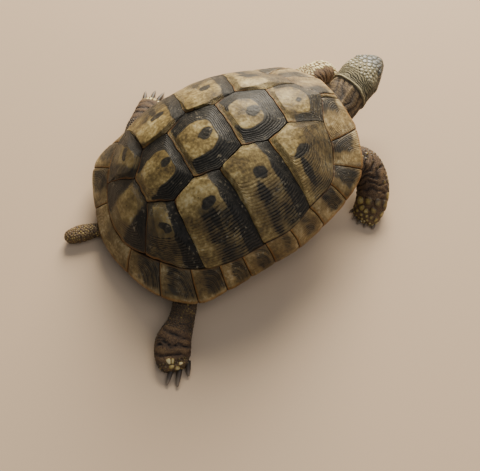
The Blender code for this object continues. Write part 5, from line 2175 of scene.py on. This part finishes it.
@dataclass(frozen=True)
class Coats:
    """The scales of the head, the legs and the tail."""

    def build(self, skin: SkinMap, finish: Material, head_finish: Material) -> None:
        """Build every coat.

        Args:
            skin: The finished skin.
            finish: The horn of the limbs' scales.
            head_finish: The horn of the head's scales.
        """
        ScaleCoat("scales_head", 3, "head_skin", sharp=9.0).build(skin, self.head(skin), head_finish)
        ScaleCoat("scales_tail", 4).build(skin, self.tail(skin), finish)
        for k, leg in enumerate(LEGS):
            ScaleCoat("scales_" + leg.name, 10 + k).build(skin, self.leg(skin, leg, k + 2), finish)

    def blank(self, skin: SkinMap, part: int) -> dict:
        """Fields that lay no scales, with the skin unwrapped along and round one soft form.

        Args:
            skin: The skin.
            part: The form's number.

        Returns:
            The fields.
        """
        here = skin.owner == part
        fields = {name: np.zeros(len(skin.points)) for name in ("radius", "height", "tint", "grey")}
        longest = max(skin.along[here].max(), 1.0)
        fields["u"] = 0.02 + 0.96 * np.clip(skin.along / longest, 0.0, 1.0)
        fields["v"] = 0.5 + 0.48 * skin.around / math.pi
        return fields

    def head(self, skin: SkinMap) -> dict:
        """Smooth shields on the snout, grains on the crown and cheeks, and tiny ones on the lids.

        Args:
            skin: The skin.

        Returns:
            The fields.
        """
        fields = self.blank(skin, 0)
        ahead, left, z = HEAD.local(skin.points)
        side = np.abs(left)
        lid = HEAD.lid(ahead, left, z)
        crown = smoothstep(43.0, 45.5, z)
        shields = smoothstep(-4.5, -1.5, ahead) * crown * smoothstep(7.5, 6.5, side)
        mixed = 1.0 + 0.25 * noise(skin.points, 3.0, 55)
        radius = (0.62 + 0.6 * crown + 1.2 * shields * smoothstep(6.5, 3.0, side)) * mixed
        radius = np.where(lid < 1.9, 0.5, radius)
        allowed = (skin.owner == 0) & (ahead > -12.0 + 3.0 * noise(skin.points, 5.0, 51)) & (lid > 1.12)
        allowed &= (HEAD.horn(ahead, z) < 0.4) & (HEAD.from_drum(ahead, left, z) > 2.9) & (ahead < 11.0)
        allowed &= np.abs(z - HEAD.mouth(ahead)) > 0.7
        fields["radius"] = np.where(allowed, radius, 0.0)
        fields["height"] = 0.2 + 0.08 * crown - 0.04 * shields
        # The crown's scales behind the eyes are paler, partly their own cream and partly a painted highlight;
        # the low scales are darker as painted shade.
        fields["tint"] = 0.44 + 0.26 * crown * smoothstep(-1.0, -5.0, ahead)
        fields["tint"] += 0.16 * noise(skin.points, 5.0, 56) - 0.12 * smoothstep(40.0, 35.0, z)
        # Painted reflection: the snout's shields, and the crown most, are mixed towards grey for the sky's
        # sheen.
        fraying = 1.5 * noise(skin.points, 4.0, 57)
        fields["grey"] = (0.25 + 0.45 * crown) * smoothstep(-5.5, 1.0, ahead + fraying)
        return fields

    def tail(self, skin: SkinMap) -> dict:
        """Even grains all round the tail.

        Args:
            skin: The skin.

        Returns:
            The fields.
        """
        fields = self.blank(skin, 1)
        behind_shell = skin.points[:, 0] < -66.0
        fields["radius"] = np.where((skin.owner == 1) & (skin.points[:, 2] > 0.6) & behind_shell, 0.75, 0.0)
        fields["height"][:] = 0.16
        fields["tint"][:] = 0.5 + 0.1 * noise(skin.points, 6.0, 52)
        return fields

    def leg(self, skin: SkinMap, leg: Leg, part: int) -> dict:
        """Large scales low down on a leg's outer face, small ones elsewhere, and none in its folds.

        Args:
            skin: The skin.
            leg: The leg.
            part: Its number among the soft forms.

        Returns:
            The fields.
        """
        fields = self.blank(skin, part)
        small, large, from_toes = leg.large
        facing = skin.normals @ (np.array(leg.outer) / np.linalg.norm(leg.outer))
        low = smoothstep(from_toes + 7.0, from_toes - 5.0, skin.along)
        weight = smoothstep(-0.35, 0.35, facing) * low
        patchy = 1.0 + leg.uneven * noise(skin.points, 4.0, 53 + part)
        radius = (small + (large - small) * weight * smoothstep(1.0, 8.0, skin.along)) * patchy
        place, _ = leg.crease
        folded = np.zeros(len(skin.points), bool)
        if leg.bare > 0.0:
            inner = smoothstep(-0.15, 0.35, skin.normals @ leg.joint_side())
            folded = hill(skin.along, place, leg.bare) * inner > 0.45
        share, _ = FORM.share(skin.points[:, 0], skin.points[:, 1])
        allowed = (skin.owner == part) & (skin.points[:, 2] > 0.7) & (share > 0.84) & ~folded
        fields["radius"] = np.where(allowed, radius, 0.0)
        fields["height"] = 0.16 + 0.17 * radius
        toes = smoothstep(7.0, 2.0, skin.along) if leg.knobs == 0.0 else 0.0
        fields["tint"] = leg.tone + 0.16 * noise(skin.points, 7.0, 54) + 0.14 * weight + 0.2 * toes
        for base, turn, _ in leg.claw_roots() if leg.knobs > 0.0 else ():
            over = base + np.array([0.7 * math.cos(turn), 0.7 * math.sin(turn), 4.5])
            knob = (np.linalg.norm(skin.points - over, axis=1) < 1.9) & allowed
            fields["radius"][knob] = leg.knobs
            fields["tint"][knob] = 0.85
        return fields


# ------------------------------------------------------------------ stage
@dataclass(frozen=True)
class Stage:
    """Camera, plain pale floor and soft light."""

    camera_place: tuple = (-99.83, -246.24, 412.02)
    camera_look: tuple = (0.2073, 0.4571, -0.8649)
    camera_up: tuple = (0.4159, 0.7591, 0.5008)
    lens: float = 56.25

    def build(self) -> None:
        """Make the camera, the floor, the lamps and the sky."""
        camera = bpy.data.objects.new("camera", bpy.data.cameras.new("camera"))
        bpy.context.scene.collection.objects.link(camera)
        look = Vector(self.camera_look).normalized()
        up = Vector(self.camera_up)
        right = look.cross(up).normalized()
        up = right.cross(look)
        turn = Matrix((right, up, -look)).transposed().to_4x4()
        place = to_row(np.array([self.camera_place]))[0]
        camera.matrix_world = Matrix.Translation(Vector(place)) @ turn
        camera.data.sensor_width = 36.0
        camera.data.lens = self.lens
        camera.data.clip_start = 0.01
        bpy.context.scene.camera = camera
        self.floor()
        self.lamp("sky_window", (0.85, 1.0, 0.8), 0.9, 72.0, "#fdf3e0")
        self.lamp("fill", (0.3, -0.6, 1.2), 1.2, 7.0, "#e6e6ea")
        world = bpy.data.worlds.new("studio")
        world.use_nodes = True
        plug(world.node_tree.nodes["Background"], {"Color": srgb("#d6dee8"), "Strength": 0.27})
        bpy.context.scene.world = world

    def floor(self) -> None:
        """A plain pale floor."""
        deselect()
        bpy.ops.mesh.primitive_plane_add(size=6.0, location=(0.0, 0.0, 0.0))
        floor = bpy.context.object
        floor.name = "floor"
        material, _, shader, *_ = new_material("plain_floor")
        plug(shader, {"Base Color": srgb("#c5ac90"), "Roughness": 0.85})
        floor.data.materials.append(material)

    def lamp(self, name: str, place: tuple, size: float, power: float, colour: str) -> None:
        """A square soft light that faces the animal.

        Args:
            name: Its name.
            place: Its place in metres.
            size: Its width in metres.
            power: Watts.
            colour: sRGB hex colour.
        """
        light = bpy.data.lights.new(name, "AREA")
        light.size = size
        light.energy = power
        light.color = srgb(colour)[:3]
        lamp = bpy.data.objects.new(name, light)
        bpy.context.scene.collection.objects.link(lamp)
        lamp.location = place
        lamp.rotation_mode = "QUATERNION"
        lamp.rotation_quaternion = (-Vector(place)).to_track_quat("-Z", "Y")


def main() -> None:
    """Build the stage and every piece of the animal."""
    logging.basicConfig(level=logging.INFO, format="%(name)s %(message)s")
    Stage().build()
    Dome().build(ScuteHorn("scute_horn").build())
    edge_horn = ScuteHorn("edge_horn", ("#46371f", "#756039", "#978156", "#bba87c"), line_strength=0.16)
    ShellRing().build(edge_horn.build())
    Plastron().build(ScuteHorn("plastron_horn", ("#7d6a3c", "#a08c55", "#b8a66e", "#cbbb85")).build())
    skin = Skin().build(Hide("hide").build())
    head_horn = ScaleHorn("head_scale_horn", ("#1a160e", "#5a5239", "#9c9272", "#cfc7ab"), roughness=0.45)
    Coats().build(skin, ScaleHorn("limb_scale_horn").build(), head_horn.build())
    claw_finish = ClawHorn().build()
    for leg in LEGS:
        leg.build_claws(claw_finish)
    eye_finish = EyeGloss().build()
    for eye in EYES:
        eye.build(eye_finish)


if __name__ == "__main__":
    main()
